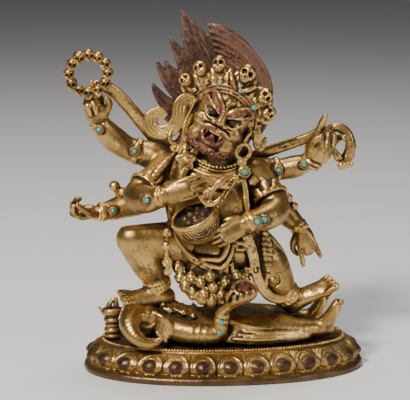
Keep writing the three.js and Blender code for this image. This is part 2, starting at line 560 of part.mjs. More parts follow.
function placeStones() {
  const facing = vec(0, -1, 0.1);
  const onLimb = (arm, i, share, out, lift = 0.9) => {
    const station = mix(ARMS[arm][i], ARMS[arm][i + 1], share);
    return [0, 1, 2].map((k) => station[k] + out.clone().normalize().getComponent(k) * (station[3] + lift));
  };
  const lowerFront = vec(-0.3, -1, -0.15);
  stone("turquoise_shoulder", onLimb("upperLeft", 1, 0.7, facing), facing);
  stone("turquoise_upper_left_wrist", onLimb("upperLeft", 3, 0.9, facing), facing);
  stone("turquoise_upper_right_armlet", onLimb("upperRight", 1, 0.8, facing), facing);
  stone("turquoise_upper_right_wrist", onLimb("upperRight", 4, 0.45, lowerFront), lowerFront);
  stone("turquoise_front_right_forearm", onLimb("frontRight", 3, 0.15, facing), facing, 1.1);
  stone("turquoise_front_left_wrist_a", onLimb("frontLeft", 3, 0.95, facing), facing, 1.25);
  stone("turquoise_front_left_wrist_b", onLimb("frontLeft", 3, 0.45, facing), facing, 1.25);
  stone("turquoise_middle_right_wrist", onLimb("middleRight", 2, 0.8, facing), facing);
  stone("turquoise_chest", [9.2, -17.6, 91.4], facing, 1.2);
  for (const [name, angle] of [["right", -72], ["middle_right", -28], ["middle_left", 8], ["left", 42]]) {
    stone("turquoise_diadem_" + name, onHead(...onArch(angle, 0.4, 1.7)),
      wayOnHead(0.3 * Math.sin(angle * DEG), -1, 0.2));
  }
}

// The elephant-headed figure on which he stands. He lies on his back with his head to the viewer's left.
function elephant() {
  const trunk = [[-49, -16, 15, 7], [-51, -23, 12, 5.4], [-48, -28, 7.4, 4], [-42, -30, 4.6, 3],
    [-37.5, -29, 5.8, 2], [-36.5, -28.4, 8.4, 1.4]];
  const nearArm = [[-28, -14, 7.5, 6.6], [-20, -20, 6.6, 5.4], [-10, -22, 6, 4.8], [-5, -22.5, 7, 4.4],
    [-3.6, -23.5, 13, 3.4], [-2.4, -24.5, 18.6, 3]];
  const nearLeg = [[10, -8, 8, 9.4, 7.6], [22, -9, 7, 8.2, 6.6], [34, -9.4, 5.6, 6.6, 5.4],
    [46, -9, 4.6, 5.2, 4.4], [54, -8.5, 4.2, 4, 4]];
  return [
    limb([[-34, -2, 9, 12, 9], [-24, -2, 9, 13.5, 9], [-10, -1, 7.6, 12.5, 7.8], [4, 0, 7.6, 12.5, 7.8],
      [14, 0, 7.6, 13, 7.6], [20, 0, 6.6, 10, 6]], { sides: 10, flat: UP }),
    ball([-HEAD_OUT, -8, 11.5], [HEAD_RADIUS, 12, 9.4], { wide: 10, high: 7 }),
    limb(trunk, { sides: 7 }),
    limb([[-39, -17, 16, 2.6, 1.4], [-33, -21, 12.6, 6, 1.8], [-29.4, -21.4, 7, 5.4, 1.6]], { sides: 6,
      flat: vec(0.4, -1, 0.3) }),
    limb([[-36, 6, 14, 4, 2.4], [-27, 8, 14.6, 6, 2.8], [-20, 7, 13, 4, 2.2]], { sides: 6, flat: UP }),
    limb([[-46, -21, 10.4, 1.6], [-41.5, -25.5, 11.5, 1.2], [-38, -27.5, 14, 0.7]], { sides: 5 }),
    limb(banded(nearArm, [[1, 0.4], [4, 0.4]]), { sides: 6 }),
    // The skull bowl in the raised hand.
    limb([[-1.6, -25, 19.6, 3.4, 2.6], [3, -26, 22.6, 4.6, 2.6], [9, -27, 25.6, 5.6, 3.4],
      [14.5, -27.5, 27.4, 3, 2]], { sides: 8, flat: vec(-0.4, 0, 0.9) }),
    limb([[6.6, -27, 25, 4.6, 4.2], [7.2, -28, 29, 6.4, 5.2], [7.6, -28.8, 32.4, 7.2, 5.6]],
      { sides: 10, cap: 0.1 }),
    limb(nearLeg, { flat: UP }),
    limb([[10, 9, 8, 9, 7], [26, 9.6, 7.6, 7.6, 6], [40, 9, 6.4, 6, 5], [50, 8, 5.4, 4.6, 4.4]], { sides: 8,
      flat: UP }),
    foot([[53, -8.5, 4.4, 4.4, 3.8], [58, -8.8, 8.4, 4.8, 3.4],
      [60.6, -9, 14.6, 4.6, 2.2]], vec(0.1, 0, 1), -0.6,
      vec(-0.95, 0, 0.3)),
    foot([[49, 8, 5, 4.4, 3.8], [53, 8, 8, 4.8, 3.2], [56, 8, 13.4, 4.6, 2.2]], vec(0.16, 0, 1), -0.6,
      vec(-0.95, 0, 0.3)),
    // The cloth over the hips.
    limb([[2, -12, 6, 3.2, 1.6], [10, -16.6, 5.6, 4.4, 1.4],
      [19, -17, 5, 3.6, 1.2]], { sides: 6, flat: FRONT }),
  ];
}

// The small upright vessel behind the head of the elephant: a ringed stem, a boat-shaped cup and its
// offering. It stands a set distance beyond the head, whatever the length of the base.
function vessel() {
  const [x, y] = [-(HEAD_OUT + HEAD_RADIUS + VESSEL_FROM_HEAD), 0];
  const profile = [[1.2, 4.4], [3.2, 3.8], [4.6, 4.7], [6, 3.9], [8.4, 4], [9.8, 4.9], [11.2, 4.1], [13, 4],
    [15.4, 5.8]];
  return [
    limb(profile.map(([z, radius]) => [x, y, z, radius, radius * 0.85]),
      { sides: 10, cap: 0.1, flat: FRONT }),
    limb([[x + 0.4, y, 14.6, 2.8], [x + 1.2, y, 18, 2.2],
      [x + 1.9, y, 21.6, 0.9]], { sides: 6, flat: FRONT }),
  ];
}

// The outline of the base at an inset from its edge, a little squarer than an ellipse.
function outlinePoint(turn, inset) {
  const power = 2 / OUTLINE_POWER;
  const [c, s] = [Math.cos(turn), Math.sin(turn)];
  return [
    (BASE_LENGTH / 2 - inset) * Math.sign(c) * Math.abs(c) ** power,
    (BASE_DEPTH / 2 - inset) * Math.sign(s) * Math.abs(s) ** power,
  ];
}

// The turns that step the outline into equal lengths, so that all petals are one width.
function equalTurns(count) {
  const steps = 40 * count;
  const walked = [0];
  let [lastX, lastY] = outlinePoint(0, 0);
  for (let i = 1; i <= steps; i++) {
    const [x, y] = outlinePoint((i / steps) * 2 * Math.PI, 0);
    walked.push(walked[i - 1] + Math.hypot(x - lastX, y - lastY));
    [lastX, lastY] = [x, y];
  }
  return Array.from({ length: count }, (_, k) => {
    const goal = ((k + 0.5) / count) * walked[steps];
    return (walked.findIndex((length) => length >= goal) / steps) * 2 * Math.PI;
  });
}

function base() {
  // Levels of the profile: height, and the insets on the keel of a petal and between two petals.
  const foot = FOOT_RIM_HEIGHT;
  const rise = BASE_HEIGHT - foot;
  const bead = DECK_INSET;
  const levels = [
    [0, 0.5, 0.5], [0.9, 0, 0], [foot * 0.6, 0, 0], [foot, 2.2, 2.2],
      [foot + 0.4, PETAL_INSET + 1.4, PETAL_INSET + 2.4],
    [foot + rise * 0.3, PETAL_INSET - 0.4, PETAL_INSET + 1.8],
      [foot + rise * 0.6, PETAL_INSET + 1.2, PETAL_INSET + 3.2],
    [foot + rise * 0.82, bead - 4.2, bead - 3], [BASE_HEIGHT - 0.7, bead - 1.4, bead - 1.4],
    [BASE_HEIGHT + BEAD_CORD_RADIUS, bead - 0.4, bead - 0.4], [BASE_HEIGHT, bead + 0.8, bead + 0.8],
  ];
  const turns = equalTurns(2 * PETAL_COUNT);
  const rings = levels.map(([z, keel, valley]) =>
    turns.map((turn, i) => vec(...outlinePoint(turn, i % 2 ? keel : valley), z)));
  return skin(rings, vec(0, 0, 0), vec(0, 0, BASE_HEIGHT));
}

const gilt = new THREE.MeshStandardMaterial({ color: 0xc79a45, metalness: 0.9, roughness: 0.35 });
const copper = new THREE.MeshStandardMaterial({ color: 0x6e4a36, metalness: 0.6, roughness: 0.55 });
const redHair = new THREE.MeshStandardMaterial({ color: 0x7d4a3c, metalness: 0.4, roughness: 0.6 });
const turquoise = new THREE.MeshStandardMaterial({ color: 0x2c9c8f, metalness: 0, roughness: 0.4 });

const buildFigure = () => join([body(), hide(), arms(), attributes(), chest(), head(), ribbons()]);

// The figure as it is, and a fatter twin that clears its neighbours.
placeStones();
let figure = buildFigure();
swell = CLEARANCE;
const figureRoom = buildFigure();
swell = 0;
figure = join([figure, stones.map(({ collar }) => collar)]).subtract(join(stones.map(({ pocket }) => pocket)));

const deck = vec(0, 0, BASE_HEIGHT + CLEARANCE);
const cutFlat = (solid) => {
  const below = new THREE.BoxGeometry(2 * BASE_LENGTH, 2 * BASE_LENGTH, BASE_HEIGHT);
  below.translate(0, 0, -BASE_HEIGHT / 2);
  return solid.subtract(solidOf(below));
};
const collarRoom = join(stones.map(({ collar }) => collar));
const elephantBody = cutFlat(join(elephant())).subtract(figureRoom);
const hairBody = join(hair()).subtract(figureRoom).subtract(collarRoom);

const group = new THREE.Group();
const standing = new THREE.Group();
standing.position.copy(deck);
group.add(meshOf("lotus_base", base(), copper));
standing.add(meshOf("protector_figure", withoutVoids(figure), gilt));
standing.add(meshOf("flaming_hair", withoutVoids(hairBody), redHair));
standing.add(meshOf("trampled_elephant", withoutVoids(elephantBody), gilt));
standing.add(meshOf("offering_vessel", withoutVoids(cutFlat(join(vessel()))), gilt));
for (const { name, body: form } of stones) standing.add(meshOf(name, form, turquoise));
group.add(standing);

export default group;
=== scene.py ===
"""Dresses the gilt copper protector figure: sculpts each cast piece in voxel clay, and gilds and paints it.

The pose is drawn in millimetres with z measured up from the deck of the lotus base, as the cast
pieces stand on it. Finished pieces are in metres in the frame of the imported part.
"""

import logging
import math
from dataclasses import dataclass, field
from enum import Enum
from typing import Callable, Iterable, Sequence

import bpy
import numpy as np
import openvdb as vdb
from mathutils import Matrix, Vector


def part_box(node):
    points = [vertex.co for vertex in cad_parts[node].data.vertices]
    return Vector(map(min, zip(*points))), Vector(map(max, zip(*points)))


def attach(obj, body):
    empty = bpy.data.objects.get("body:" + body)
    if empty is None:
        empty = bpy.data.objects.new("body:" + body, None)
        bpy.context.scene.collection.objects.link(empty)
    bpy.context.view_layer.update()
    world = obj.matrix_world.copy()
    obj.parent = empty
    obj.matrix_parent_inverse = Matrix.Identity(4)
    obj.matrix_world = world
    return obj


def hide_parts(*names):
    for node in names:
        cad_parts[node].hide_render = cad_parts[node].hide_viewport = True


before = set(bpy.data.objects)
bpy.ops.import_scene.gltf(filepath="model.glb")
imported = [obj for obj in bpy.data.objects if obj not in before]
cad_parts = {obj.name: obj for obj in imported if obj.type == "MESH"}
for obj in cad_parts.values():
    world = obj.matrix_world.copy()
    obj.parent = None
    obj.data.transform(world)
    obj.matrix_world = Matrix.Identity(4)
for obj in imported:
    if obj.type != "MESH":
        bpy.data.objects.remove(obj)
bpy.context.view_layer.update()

log = logging.getLogger("protector")

MM = 0.001
BASE_HEIGHT = 16.0
CLEARANCE = 0.3
DECK = BASE_HEIGHT + CLEARANCE
FAR = 6.0
EDGE_VOXELS = 2.5
EDGE = 0.6
SMALL = 1e-9
FRONT = (0.0, -1.0, 0.0)
UP = (0.0, 0.0, 1.0)

Row = Sequence[float]
Grid = tuple[np.ndarray, np.ndarray, np.ndarray]
Mask = Callable[[np.ndarray], np.ndarray]
Colour = tuple[float, float, float, float]
Socket = bpy.types.NodeSocket


def unit(vector: Row) -> np.ndarray:
    """The vector at a length of one."""
    made = np.asarray(vector, float)
    return made / max(float(np.linalg.norm(made)), SMALL)


def square_to(vector: Row, axis: Row) -> np.ndarray:
    """The unit part of a vector that is square to an axis.

    Args:
        vector: the vector to take the part of.
        axis: the way that the part leaves out.

    Returns:
        A vector of length one.
    """
    along = unit(axis)
    made = np.asarray(vector, float)
    rest = made - along * float(made @ along)
    if np.linalg.norm(rest) < 1e-6:
        rest = np.cross(along, (0.31, 0.77, 0.55))
    return unit(rest)


def turned(axis: Row, degrees: float) -> np.ndarray:
    """The matrix of a turn about an axis through the origin."""
    return np.array(Matrix.Rotation(math.radians(degrees), 3, Vector(axis)))


def smoothstep(low: float, high: float, value: np.ndarray) -> np.ndarray:
    """The usual smooth step from 0 at low to 1 at high."""
    t = np.clip((value - low) / (high - low), 0.0, 1.0)
    return t * t * (3.0 - 2.0 * t)


def spline(points: Sequence[Row], steps: int = 4) -> np.ndarray:
    """Rows on a smooth curve through rows of places and radii.

    Args:
        points: rows of equal length, at least two of them.
        steps: how many rows each span gets.

    Returns:
        The rows of the curve, the given ones among them.
    """
    p = np.asarray(points, float)
    p = np.vstack([2 * p[0] - p[1], p, 2 * p[-1] - p[-2]])
    t = np.linspace(0.0, 1.0, steps, endpoint=False)[:, None]
    rows = []
    for a, b, c, d in zip(p, p[1:], p[2:], p[3:]):
        even = (c - a) * t + (2 * a - 5 * b + 4 * c - d) * t**2
        rows.append(0.5 * (2 * b + even + (3 * b - a - 3 * c + d) * t**3))
    rows.append(p[-2:-1])
    return np.vstack(rows)


def arc(centre: Row, across: Row, up: Row, radius: float, start: float, end: float,
        count: int) -> np.ndarray:
    """Places on an arc, in the plane of two unit vectors, between two angles in degrees."""
    angles = np.radians(np.linspace(start, end, count))[:, None]
    side, rise = np.asarray(across, float), np.asarray(up, float)
    return np.asarray(centre, float) + radius * np.cos(angles) * side + radius * np.sin(angles) * rise


def round_about(centre: Row, axis: Row, start: Row, radius: float, count: int) -> np.ndarray:
    """Even places on a circle about an axis, the first of them on the side named by a vector."""
    across = square_to(start, unit(axis))
    return arc(centre, across, np.cross(unit(axis), across), radius, 0, 360 - 360 / count, count)


def walked_along(places: np.ndarray) -> np.ndarray:
    """The length walked from the first place to each place of a line."""
    return np.concatenate([[0], np.cumsum(np.linalg.norm(np.diff(places, axis=0), axis=1))])


def trilinear(corner: Callable[[tuple[int, ...]], np.ndarray], share: np.ndarray) -> np.ndarray:
    """Blends what stands at the eight corners of a cell.

    Args:
        corner: gives the values at a corner, from its step of 0 or 1 along each axis.
        share: how far into its cell each place lies, along each axis.

    Returns:
        A value for each place.
    """
    made = np.zeros(len(share), share.dtype)
    for steps in np.ndindex(2, 2, 2):
        x, y, z = (share[:, i] if step else 1 - share[:, i] for i, step in enumerate(steps))
        made += x * y * z * corner(steps)
    return made


@dataclass(frozen=True)
class Placement:
    """Where a block of clay stands in the pose: turned about its own origin, then shifted."""

    turn: tuple[tuple[float, ...], ...] = ((1, 0, 0), (0, 1, 0), (0, 0, 1))
    shift: tuple[float, float, float] = (0.0, 0.0, 0.0)

    def out(self, points: np.ndarray) -> np.ndarray:
        """Local places as places in the pose."""
        return points @ np.array(self.turn, float).T + np.array(self.shift)

    def into(self, points: np.ndarray) -> np.ndarray:
        """Places in the pose as local places."""
        return (points - np.array(self.shift)) @ np.array(self.turn, float)


class Clay:
    """A block of modelling clay: a distance field on a grid of voxels, in millimetres."""

    def __init__(self, low: Row, high: Row, voxel: float, placement: Placement = Placement()) -> None:
        """Starts an empty block between two corners."""
        self.low = np.asarray(low, float)
        self.voxel = voxel
        self.placement = placement
        self.shape = tuple(int(n) for n in np.ceil((np.asarray(high, float) - self.low) / voxel) + 1)
        self.field = np.full(self.shape, FAR, np.float32)

    def _window(self, low: np.ndarray, high: np.ndarray) -> tuple[slice, ...]:
        """The slices of the grid that cover a box."""
        first = np.clip(np.floor((low - self.low) / self.voxel).astype(int), 0, np.array(self.shape) - 1)
        last = np.clip(np.ceil((high - self.low) / self.voxel).astype(int) + 1, 1, self.shape)
        return tuple(slice(int(a), int(max(b, a + 1))) for a, b in zip(first, last))

    def _grid(self, window: tuple[slice, ...]) -> Grid:
        """The open grid of places in a window."""
        axes = [
            (self.low[i] + self.voxel * np.arange(w.start, w.stop)).astype(np.float32)
            for i, w in enumerate(window)
        ]
        return axes[0][:, None, None], axes[1][None, :, None], axes[2][None, None, :]

    def _room(self, blend: float) -> float:
        """The room that a form's window needs on each side."""
        return blend + EDGE_VOXELS * self.voxel + EDGE

    def _merge(self, window: tuple[slice, ...], made: np.ndarray, blend: float) -> None:
        """Adds a field in a window to the clay, with a soft blend of a given width.

        Args:
            window: the part of the grid that is worked on.
            made: field values in that window.
            blend: how wide the soft join to the clay is.
        """
        old = self.field[window]
        if blend > 0:
            near = np.maximum(blend - np.abs(old - made), 0.0) / blend
            self.field[window] = np.minimum(old, made) - near * near * blend * 0.25
        else:
            self.field[window] = np.minimum(old, made)

    def _carve(self, window: tuple[slice, ...], made: np.ndarray, blend: float) -> None:
        """Takes a field in a window off the clay, with a soft edge of a given width.

        Args:
            window: the part of the grid that is worked on.
            made: field values in that window.
            blend: how wide the soft join to the clay is.
        """
        old = self.field[window]
        if blend > 0:
            near = np.maximum(blend - np.abs(old + made), 0.0) / blend
            self.field[window] = np.maximum(old, -made) + near * near * blend * 0.25
        else:
            self.field[window] = np.maximum(old, -made)

    def rope(
        self,
        points: Sequence[Row],
        blend: float = 0.0,
        flat: Row | None = None,
        steps: int = 4,
        carve: bool = False,
    ) -> "Clay":
        """Lays a limb, cord or ribbon along rows [x, y, z, radius] or [x, y, z, wide, thin].

        Args:
            points: the rows, in order.
            blend: how softly it joins the clay.
            flat: the way the thin radius lies, for rows that have one.
            steps: sub-steps of the smooth curve in each span; 0 keeps the rows as they are.
            carve: True to cut the form out of the clay instead.

        Returns:
            The clay, for the next form.
        """
        rows = spline(points, steps) if steps else np.asarray(points, float)
        wide = np.maximum(rows[:, 3], 0.05)
        thin = np.maximum(rows[:, 4], 0.05) if rows.shape[1] > 4 else wide
        places = rows[:, :3]
        pad = self._room(blend)
        reach = np.maximum(wide, thin)[:, None] + pad
        window = self._window((places - reach).min(0), (places + reach).max(0))
        made = np.full([w.stop - w.start for w in window], FAR, np.float32)
        for i in range(len(rows) - 1):
            reach_here = max(wide[i], wide[i + 1], thin[i], thin[i + 1]) + pad
            inner = self._window(
                np.minimum(places[i], places[i + 1]) - reach_here,
                np.maximum(places[i], places[i + 1]) + reach_here,
            )
            local = tuple(
                slice(max(a.start - w.start, 0), min(a.stop, w.stop) - w.start)
                for a, w in zip(inner, window)
            )
            if any(s.stop <= s.start for s in local):
                continue
            inner = tuple(slice(w.start + s.start, w.start + s.stop) for s, w in zip(local, window))
            two = slice(i, i + 2)
            distance = self._segment(inner, places[i], places[i + 1], wide[two], thin[two], flat)
            made[local] = np.minimum(made[local], distance)
        (self._carve if carve else self._merge)(window, made, blend)
        return self

    def _segment(
        self,
        window: tuple[slice, ...],
        a: np.ndarray,
        b: np.ndarray,
        wide: np.ndarray,
        thin: np.ndarray,
        flat: Row | None,
    ) -> np.ndarray:
        """Distances to one span of a rope, round or flattened.

        Args:
            window: the part of the grid that is worked on.
            a: where the span starts.
            b: where it ends.
            wide: its two half widths.
            thin: its two half thicknesses.
            flat: the way of its thickness, or None for a round span.

        Returns:
            One distance for each cell of the window.
        """
        x, y, z = self._grid(window)
        run = (b - a).astype(np.float32)
        length = max(float(run @ run), SMALL)
        px, py, pz = x - np.float32(a[0]), y - np.float32(a[1]), z - np.float32(a[2])
        t = np.clip((px * run[0] + py * run[1] + pz * run[2]) / np.float32(length), 0, 1)
        ox, oy, oz = px - t * run[0], py - t * run[1], pz - t * run[2]
        square = ox * ox + oy * oy + oz * oz
        wide_here = np.float32(wide[0]) + np.float32(wide[1] - wide[0]) * t
        if flat is None or abs(wide[0] - thin[0]) + abs(wide[1] - thin[1]) < 1e-6:
            return np.sqrt(square) - wide_here
        across = square_to(flat, run).astype(np.float32)
        thin_here = np.float32(thin[0]) + np.float32(thin[1] - thin[0]) * t
        off = ox * across[0] + oy * across[1] + oz * across[2]
        ratio = (wide_here / thin_here) ** 2
        q = np.sqrt(np.maximum(square + off * off * (ratio - 1), 1e-8))
        g = np.sqrt(np.maximum(square + off * off * (ratio * ratio - 1), 1e-8))
        return (q - wide_here) * np.minimum(q / g, 1.0)

    def ball(
        self,
        centre: Row,
        radii: Row | float,
        blend: float = 0.0,
        turn: np.ndarray | None = None,
        carve: bool = False,
    ) -> "Clay":
        """Adds or carves an ellipsoid, turned by a matrix about its centre.

        Args:
            centre: where its middle is.
            radii: its half lengths.
            blend: how wide the soft join to the clay is.
            turn: the matrix that turns it, or None.
            carve: whether it is taken off rather than added.

        Returns:
            The clay itself.
        """
        r = np.full(3, radii, float) if np.isscalar(radii) else np.asarray(radii, float)
        c = np.asarray(centre, float)
        pad = self._room(blend)
        reach = (np.full(3, r.max()) if turn is not None else r) + pad
        window = self._window(c - reach, c + reach)
        x, y, z = self._grid(window)
        x, y, z = x - np.float32(c[0]), y - np.float32(c[1]), z - np.float32(c[2])
        if turn is not None:
            m = np.asarray(turn, np.float32)
            x, y, z = (
                x * m[0, 0] + y * m[1, 0] + z * m[2, 0],
                x * m[0, 1] + y * m[1, 1] + z * m[2, 1],
                x * m[0, 2] + y * m[1, 2] + z * m[2, 2],
            )
        sx, sy, sz = x / np.float32(r[0]), y / np.float32(r[1]), z / np.float32(r[2])
        k0 = np.sqrt(sx * sx + sy * sy + sz * sz)
        k1 = np.sqrt((sx / r[0]) ** 2 + (sy / r[1]) ** 2 + (sz / r[2]) ** 2) + 1e-6
        made = np.where(k0 < 1e-3, -r.min(), k0 * (k0 - 1) / k1).astype(np.float32)
        (self._carve if carve else self._merge)(window, made, blend)
        return self

    def ring(
        self,
        centre: Row,
        axis: Row,
        radius: float,
        tube: float,
        blend: float = 0.0,
        carve: bool = False,
    ) -> "Clay":
        """Adds or carves a ring round an axis.

        Args:
            centre: where its middle is.
            axis: the way of the line that it lies round.
            radius: how far it reaches from its middle.
            tube: how thick its tube is.
            blend: how wide the soft join to the clay is.
            carve: whether it is taken off rather than added.

        Returns:
            The clay itself.
        """
        c = np.asarray(centre, float)
        n = unit(axis)
        reach = radius + tube + self._room(blend)
        window = self._window(c - reach, c + reach)
        x, y, z = self._grid(window)
        x, y, z = x - np.float32(c[0]), y - np.float32(c[1]), z - np.float32(c[2])
        level = x * np.float32(n[0]) + y * np.float32(n[1]) + z * np.float32(n[2])
        out = np.sqrt(np.maximum(x * x + y * y + z * z - level * level, 0)) - radius
        made = (np.sqrt(out * out + level * level) - tube).astype(np.float32)
        (self._carve if carve else self._merge)(window, made, blend)
        return self

    def slice_off(self, point: Row, outwards: Row) -> "Clay":
        """Cuts away all clay on the outer side of a plane."""
        n = unit(outwards)
        x, y, z = self._grid(tuple(slice(0, s) for s in self.shape))
        plane = (x - point[0]) * n[0] + (y - point[1]) * n[1] + (z - point[2]) * n[2]
        self.field = np.maximum(self.field, plane.astype(np.float32))
        return self

    def sample(self, points: np.ndarray) -> np.ndarray:
        """Field values at local places, far outside where there is no clay.

        Args:
            points: places, one a row.

        Returns:
            One value for each place.
        """
        at = (points - self.low) / self.voxel
        top = np.array(self.shape) - 1.001
        inside = np.all((at >= 0) & (at <= top), axis=1)
        at = np.clip(at, 0, top)
        cell = at.astype(int)

        def corner(steps: tuple[int, ...]) -> np.ndarray:
            """The field at one corner of each place's voxel."""
            return self.field[tuple((cell + steps).T)]

        return np.where(inside, trilinear(corner, (at - cell).astype(np.float32)), FAR)

    def skin(self) -> tuple[np.ndarray, np.ndarray, np.ndarray]:
        """The local places, the four-sided faces and the outward normals of the clay's surface.

        Returns:
            Places, faces and normals.
        """
        limit = 3.0 * self.voxel
        grid = vdb.FloatGrid(limit)
        values = np.clip(self.field, -limit, limit)
        for axis in range(3):
            for side in (0, -1):
                np.moveaxis(values, axis, 0)[side] = limit
        grid.copyFromArray(np.ascontiguousarray(values))
        points, quads = grid.convertToQuads(isovalue=0.0)
        points = np.asarray(points, float) * self.voxel + self.low
        points, quads = drop_crumbs(points, np.asarray(quads, np.int64))
        normals = normals_of(points, quads)
        if (self.sample(points + normals * self.voxel) > 0).mean() < 0.5:
            return points, quads[:, ::-1], -normals
        return points, quads, normals


def drop_crumbs(points: np.ndarray, quads: np.ndarray, least: int = 40) -> tuple[np.ndarray, np.ndarray]:
    """Leaves out loose crumbs of a surface that have few faces.

    Args:
        points: places, one a row.
        quads: the four corners of each face, as rows of the places.
        least: the fewest faces that a kept part has.

    Returns:
        The kept places and faces.
    """
    label = np.arange(len(points))
    edges = np.concatenate([quads[:, [0, 1]], quads[:, [1, 2]], quads[:, [2, 3]]])
    for _ in range(400):
        low = np.minimum(label[edges[:, 0]], label[edges[:, 1]])
        before = label.copy()
        np.minimum.at(label, edges[:, 0], low)
        np.minimum.at(label, edges[:, 1], low)
        label = label[label]
        if np.array_equal(before, label):
            break
    counts = np.bincount(label[quads[:, 0]], minlength=len(points))
    kept = quads[counts[label[quads[:, 0]]] >= least]
    used = np.zeros(len(points), bool)
    used[kept] = True
    new = np.cumsum(used) - 1
    return points[used], new[kept]


def normals_of(points: np.ndarray, quads: np.ndarray) -> np.ndarray:
    """Unit normals at the points of a surface of four-sided faces.

    Args:
        points: places, one a row.
        quads: the four corners of each face, as rows of the places.

    Returns:
        One normal for each place.
    """
    a, b, c, d = (points[quads[:, i]] for i in range(4))
    face = np.cross(c - a, d - b)
    made = np.zeros_like(points)
    for i in range(4):
        for k in range(3):
            made[:, k] += np.bincount(quads[:, i], weights=face[:, k], minlength=len(points))
    return made / np.maximum(np.linalg.norm(made, axis=1, keepdims=True), SMALL)


def lumps(points: np.ndarray, size: float, seed: int) -> np.ndarray:
    """Smooth noise between -1 and 1 at places, with lumps of about a size.

    Args:
        points: places, one a row.
        size: how wide a lump is.
        seed: where the draws start.

    Returns:
        One value for each place.
    """
    cells = 24
    lattice = np.random.default_rng(seed).uniform(-1, 1, (cells, cells, cells))
    at = points / size
    cell = np.floor(at).astype(int)
    share = at - cell

    def corner(steps: tuple[int, ...]) -> np.ndarray:
        """The lattice at one corner of each place's cell."""
        return lattice[tuple(((cell + steps) % cells).T)]

    return trilinear(corner, share * share * (3 - 2 * share))


class OcclusionShade:
    """Painted shade: how crowded the space round a surface is, darkening hollows and places between parts
    like ambient occlusion.
    """

    def __init__(self, low: Row, high: Row, step: float = 1.0) -> None:
        """Starts an empty grid between two corners of the pose."""
        self.low = np.asarray(low, float)
        self.step = step
        self.shape = tuple(int(n) for n in np.ceil((np.asarray(high, float) - self.low) / step) + 1)
        self.solid = np.zeros(self.shape, np.float32)
        self.crowding: dict[int, np.ndarray] = {}

    def add(self, clay: Clay) -> None:
        """Marks where a block of clay is solid.

        Args:
            clay: the block.
        """
        corners = np.array([[x, y, z] for x in (0, 1) for y in (0, 1) for z in (0, 1)], float)
        size = (np.array(clay.shape) - 1) * clay.voxel
        box = clay.placement.out(clay.low + corners * size)
        first = np.clip(((box.min(0) - self.low) / self.step).astype(int), 0, np.array(self.shape) - 1)
        last = np.clip(((box.max(0) - self.low) / self.step).astype(int) + 2, 1, self.shape)
        axes = [self.low[i] + self.step * np.arange(first[i], last[i]) for i in range(3)]
        places = np.stack(np.meshgrid(*axes, indexing="ij"), -1).reshape(-1, 3)
        inside = clay.sample(clay.placement.into(places)) < 0
        window = tuple(slice(a, b) for a, b in zip(first, last))
        here = inside.reshape([b - a for a, b in zip(first, last)]).astype(np.float32)
        self.solid[window] = np.maximum(self.solid[window], here)

    def fill(self, low: Row, high: Row) -> None:
        """Marks a plain box as solid."""
        first = np.clip(((np.asarray(low) - self.low) / self.step).astype(int), 0, self.shape)
        last = np.clip(((np.asarray(high) - self.low) / self.step).astype(int) + 1, 0, self.shape)
        self.solid[tuple(slice(a, b) for a, b in zip(first, last))] = 1.0

    def settle(self) -> None:
        """Works out the crowding at each reach, in steps of the grid."""
        for reach in (2, 5):
            made = self.solid.astype(np.float64)
            for _ in range(2):
                for axis in range(3):
                    width = [(0, 0)] * 3
                    width[axis] = (reach + 1, reach)
                    total = np.cumsum(np.pad(made, width), axis=axis)
                    size = self.shape[axis]
                    ahead = np.take(total, np.arange(2 * reach + 1, 2 * reach + 1 + size), axis=axis)
                    behind = np.take(total, np.arange(0, size), axis=axis)
                    made = (ahead - behind) / (2 * reach + 1)
            self.crowding[reach] = made.astype(np.float32)

    def at(self, points: np.ndarray, normals: np.ndarray) -> np.ndarray:
        """Painted shade between 0, in the open, and 1, deep in a hollow.

        Args:
            points: places, one a row.
            normals: the way out at each place.

        Returns:
            One value for each place.
        """
        total = np.zeros(len(points))
        looks = ((1.6, 0.22, 0.62), (4.0, 0.16, 0.5))
        for made, (lift, low, high) in zip(self.crowding.values(), looks):
            at = np.round((points + normals * lift - self.low) / self.step).astype(int)
            at = np.clip(at, 0, np.array(self.shape) - 1)
            total += smoothstep(low, high, made[at[:, 0], at[:, 1], at[:, 2]])
        return np.clip(total * 0.5, 0, 1)


# Painted shade: ambient occlusion of all the pieces together.
OCCLUSION_SHADE = OcclusionShade((-92, -48, -4), (78, 28, 178))


def placed(name: str, data: bpy.types.ID) -> bpy.types.Object:
    """A new object in the scene."""
    made = bpy.data.objects.new(name, data)
    bpy.context.scene.collection.objects.link(made)
    return made


def mesh_object(
    name: str,
    points: np.ndarray,
    faces: np.ndarray,
    masks: dict[str, np.ndarray],
    material: bpy.types.Material,
) -> bpy.types.Object:
    """A finished object from places in the pose, in millimetres.

    Args:
        name: the piece's name.
        points: the places.
        faces: rows of three or four point numbers, normals outwards.
        masks: values at the points, stored as named attributes.
        material: the piece's material.

    Returns:
        The object, linked to the scene, with its place in its mesh.
    """
    mesh = bpy.data.meshes.new(name)
    corners = faces.shape[1]
    world = (points + np.array((0.0, 0.0, DECK))) * MM
    mesh.vertices.add(len(world))
    mesh.vertices.foreach_set("co", world.astype(np.float32).ravel())
    mesh.loops.add(faces.size)
    mesh.loops.foreach_set("vertex_index", faces.astype(np.int32).ravel())
    mesh.polygons.add(len(faces))
    mesh.polygons.foreach_set("loop_start", np.arange(0, faces.size, corners, dtype=np.int32))
    mesh.polygons.foreach_set("use_smooth", np.ones(len(faces), bool))
    mesh.update(calc_edges=True)
    mesh.validate()
    for key, values in masks.items():
        attribute = mesh.attributes.new(key, "FLOAT", "POINT")
        attribute.data.foreach_set("value", values.astype(np.float32))
    mesh.materials.append(material)
    return placed(name, mesh)


